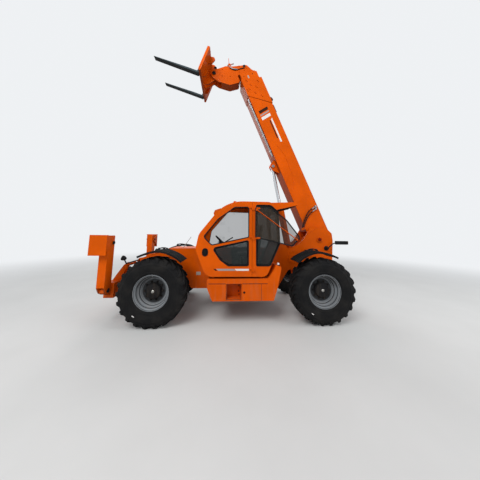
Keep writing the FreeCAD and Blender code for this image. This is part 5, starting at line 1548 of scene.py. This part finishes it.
CAMERA_AT = (259, 4934, 1854)
CAMERA_YAW = 3.48
CAMERA_PITCH = 6.40
CAMERA_ROLL = 0.74
FOCAL_PIXELS = 180.83
PICTURE_PIXELS = 480
HORIZON_SHIFT = 27
SENSOR = 36.0
BACKGROUND = (0.86, 0.88, 0.90)
SKY = (0.93, 0.96, 1.0)
LAMP_SIZE = 7.0
LAMPS = [
    # name, place, target, watts
    ("key", (5.0, 9.0, 11.0), (0, 0, 2.0), 1250),
    ("fill", (-9.0, 4.0, 6.0), (0, 0, 2.0), 380),
    ("back", (2.0, -10.0, 9.0), (0, 0, 2.5), 500),
]


def photo_camera():
    """Camera where the photograph was taken from."""
    data = bpy.data.cameras.new("photo_camera")
    data.sensor_width = SENSOR
    data.lens = FOCAL_PIXELS / PICTURE_PIXELS * SENSOR
    data.shift_y = -HORIZON_SHIFT / PICTURE_PIXELS
    camera = linked("photo_camera", data)
    yaw, pitch, roll = (math.radians(a) for a in (CAMERA_YAW, CAMERA_PITCH, CAMERA_ROLL))
    ahead = Vector((-math.sin(yaw) * math.cos(pitch), -math.cos(yaw) * math.cos(pitch), math.sin(pitch)))
    right = Vector((-math.cos(yaw), math.sin(yaw), 0))
    up = right.cross(ahead)
    right, up = (right * math.cos(roll) + up * math.sin(roll), up * math.cos(roll) - right * math.sin(roll))
    turn = Matrix((right, up, -ahead)).transposed().to_4x4()
    camera.matrix_world = Matrix.Translation(MACHINE @ Vector(CAMERA_AT)) @ turn
    bpy.context.scene.camera = camera


def soft_lamp(name, place, target, power):
    """Large square lamp that looks at a point; metres and watts."""
    data = bpy.data.lights.new(name, "AREA")
    data.size = LAMP_SIZE
    data.energy = power
    lamp = linked(name, data)
    lamp.location = place
    lamp.rotation_euler = (Vector(target) - Vector(place)).to_track_quat("-Z", "Y").to_euler()


class TELEHANDLER_OT_stage(bpy.types.Operator):
    """Floor, soft studio light and the camera at the photograph's angle"""

    bl_idname = "telehandler.stage"
    bl_label = "Stage"

    def execute(self, context):
        photo_camera()
        bpy.ops.mesh.primitive_plane_add(size=160, location=(0, 0, 0))
        floor = context.object
        floor.name = "studio_floor"
        finish = Finish("studio_floor", Roughness=0.85, Specular_IOR_Level=0.1)
        cloud = finish.noise(0.8, 4.0)
        finish.set(Base_Color=finish.blend(cloud, (0.54, 0.54, 0.53), (0.62, 0.62, 0.61)))
        finish.fade_into(BACKGROUND, 6.0, 16.0)
        floor.data.materials.append(finish.material)
        world = bpy.data.worlds.new("studio")
        world.use_nodes = True
        context.scene.world = world
        network = Network(world.node_tree)
        lighting = network.tree.nodes["Background"]
        plain = network.tree.nodes.new("ShaderNodeBackground")
        for node, colour, strength in ((lighting, SKY, 0.55), (plain, BACKGROUND, 1.0)):
            network.feed(node.inputs["Color"], colour)
            network.feed(node.inputs["Strength"], strength)
        network.surface(network.shown(), lighting, plain)
        for lamp in LAMPS:
            soft_lamp(*lamp)
        context.scene.view_settings.view_transform = "Standard"
        return {"FINISHED"}


class TELEHANDLER_PT_panel(bpy.types.Panel):
    """Buttons for each group of pieces, in the order in which they are built"""

    bl_label = "Telehandler"
    bl_idname = "TELEHANDLER_PT_panel"
    bl_space_type = "VIEW_3D"
    bl_region_type = "UI"
    bl_category = "Telehandler"

    def draw(self, context):
        for group in SETTINGS:
            settings = getattr(context.scene, group)
            for name in settings.__annotations__:
                self.layout.prop(settings, name)
        for operator in OPERATORS:
            self.layout.operator(operator.bl_idname)


SETTINGS = {
    "telehandler_looks": TelehandlerLooks,
    "telehandler_tyres": TyreSettings,
    "telehandler_wheels": WheelSettings,
    "telehandler_guards": GuardSettings,
}
OPERATORS = [
    TELEHANDLER_OT_stage,
    TELEHANDLER_OT_paint,
    TELEHANDLER_OT_hoses,
    TELEHANDLER_OT_tyres,
    TELEHANDLER_OT_wheels,
    TELEHANDLER_OT_mudguards,
    TELEHANDLER_OT_cab_trim,
    TELEHANDLER_OT_door_trim,
    TELEHANDLER_OT_open_window,
    TELEHANDLER_OT_cab_inside,
    TELEHANDLER_OT_side_box,
    TELEHANDLER_OT_engine_side,
    TELEHANDLER_OT_chassis,
    TELEHANDLER_OT_boom,
    TELEHANDLER_OT_boom_head,
    TELEHANDLER_OT_fork_carriage,
    TELEHANDLER_OT_stabilisers,
    TELEHANDLER_OT_lamps,
]


def register():
    for group, settings in SETTINGS.items():
        bpy.utils.register_class(settings)
        setattr(bpy.types.Scene, group, bpy.props.PointerProperty(type=settings))
    for operator in OPERATORS:
        bpy.utils.register_class(operator)
    bpy.utils.register_class(TELEHANDLER_PT_panel)


def unregister():
    bpy.utils.unregister_class(TELEHANDLER_PT_panel)
    for operator in reversed(OPERATORS):
        bpy.utils.unregister_class(operator)
    for group, settings in SETTINGS.items():
        delattr(bpy.types.Scene, group)
        bpy.utils.unregister_class(settings)


def main():
    """Build everything in order."""
    register()
    for operator in OPERATORS:
        group, name = operator.bl_idname.split(".")
        getattr(getattr(bpy.ops, group), name)()


if __name__ == "__main__":
    main()
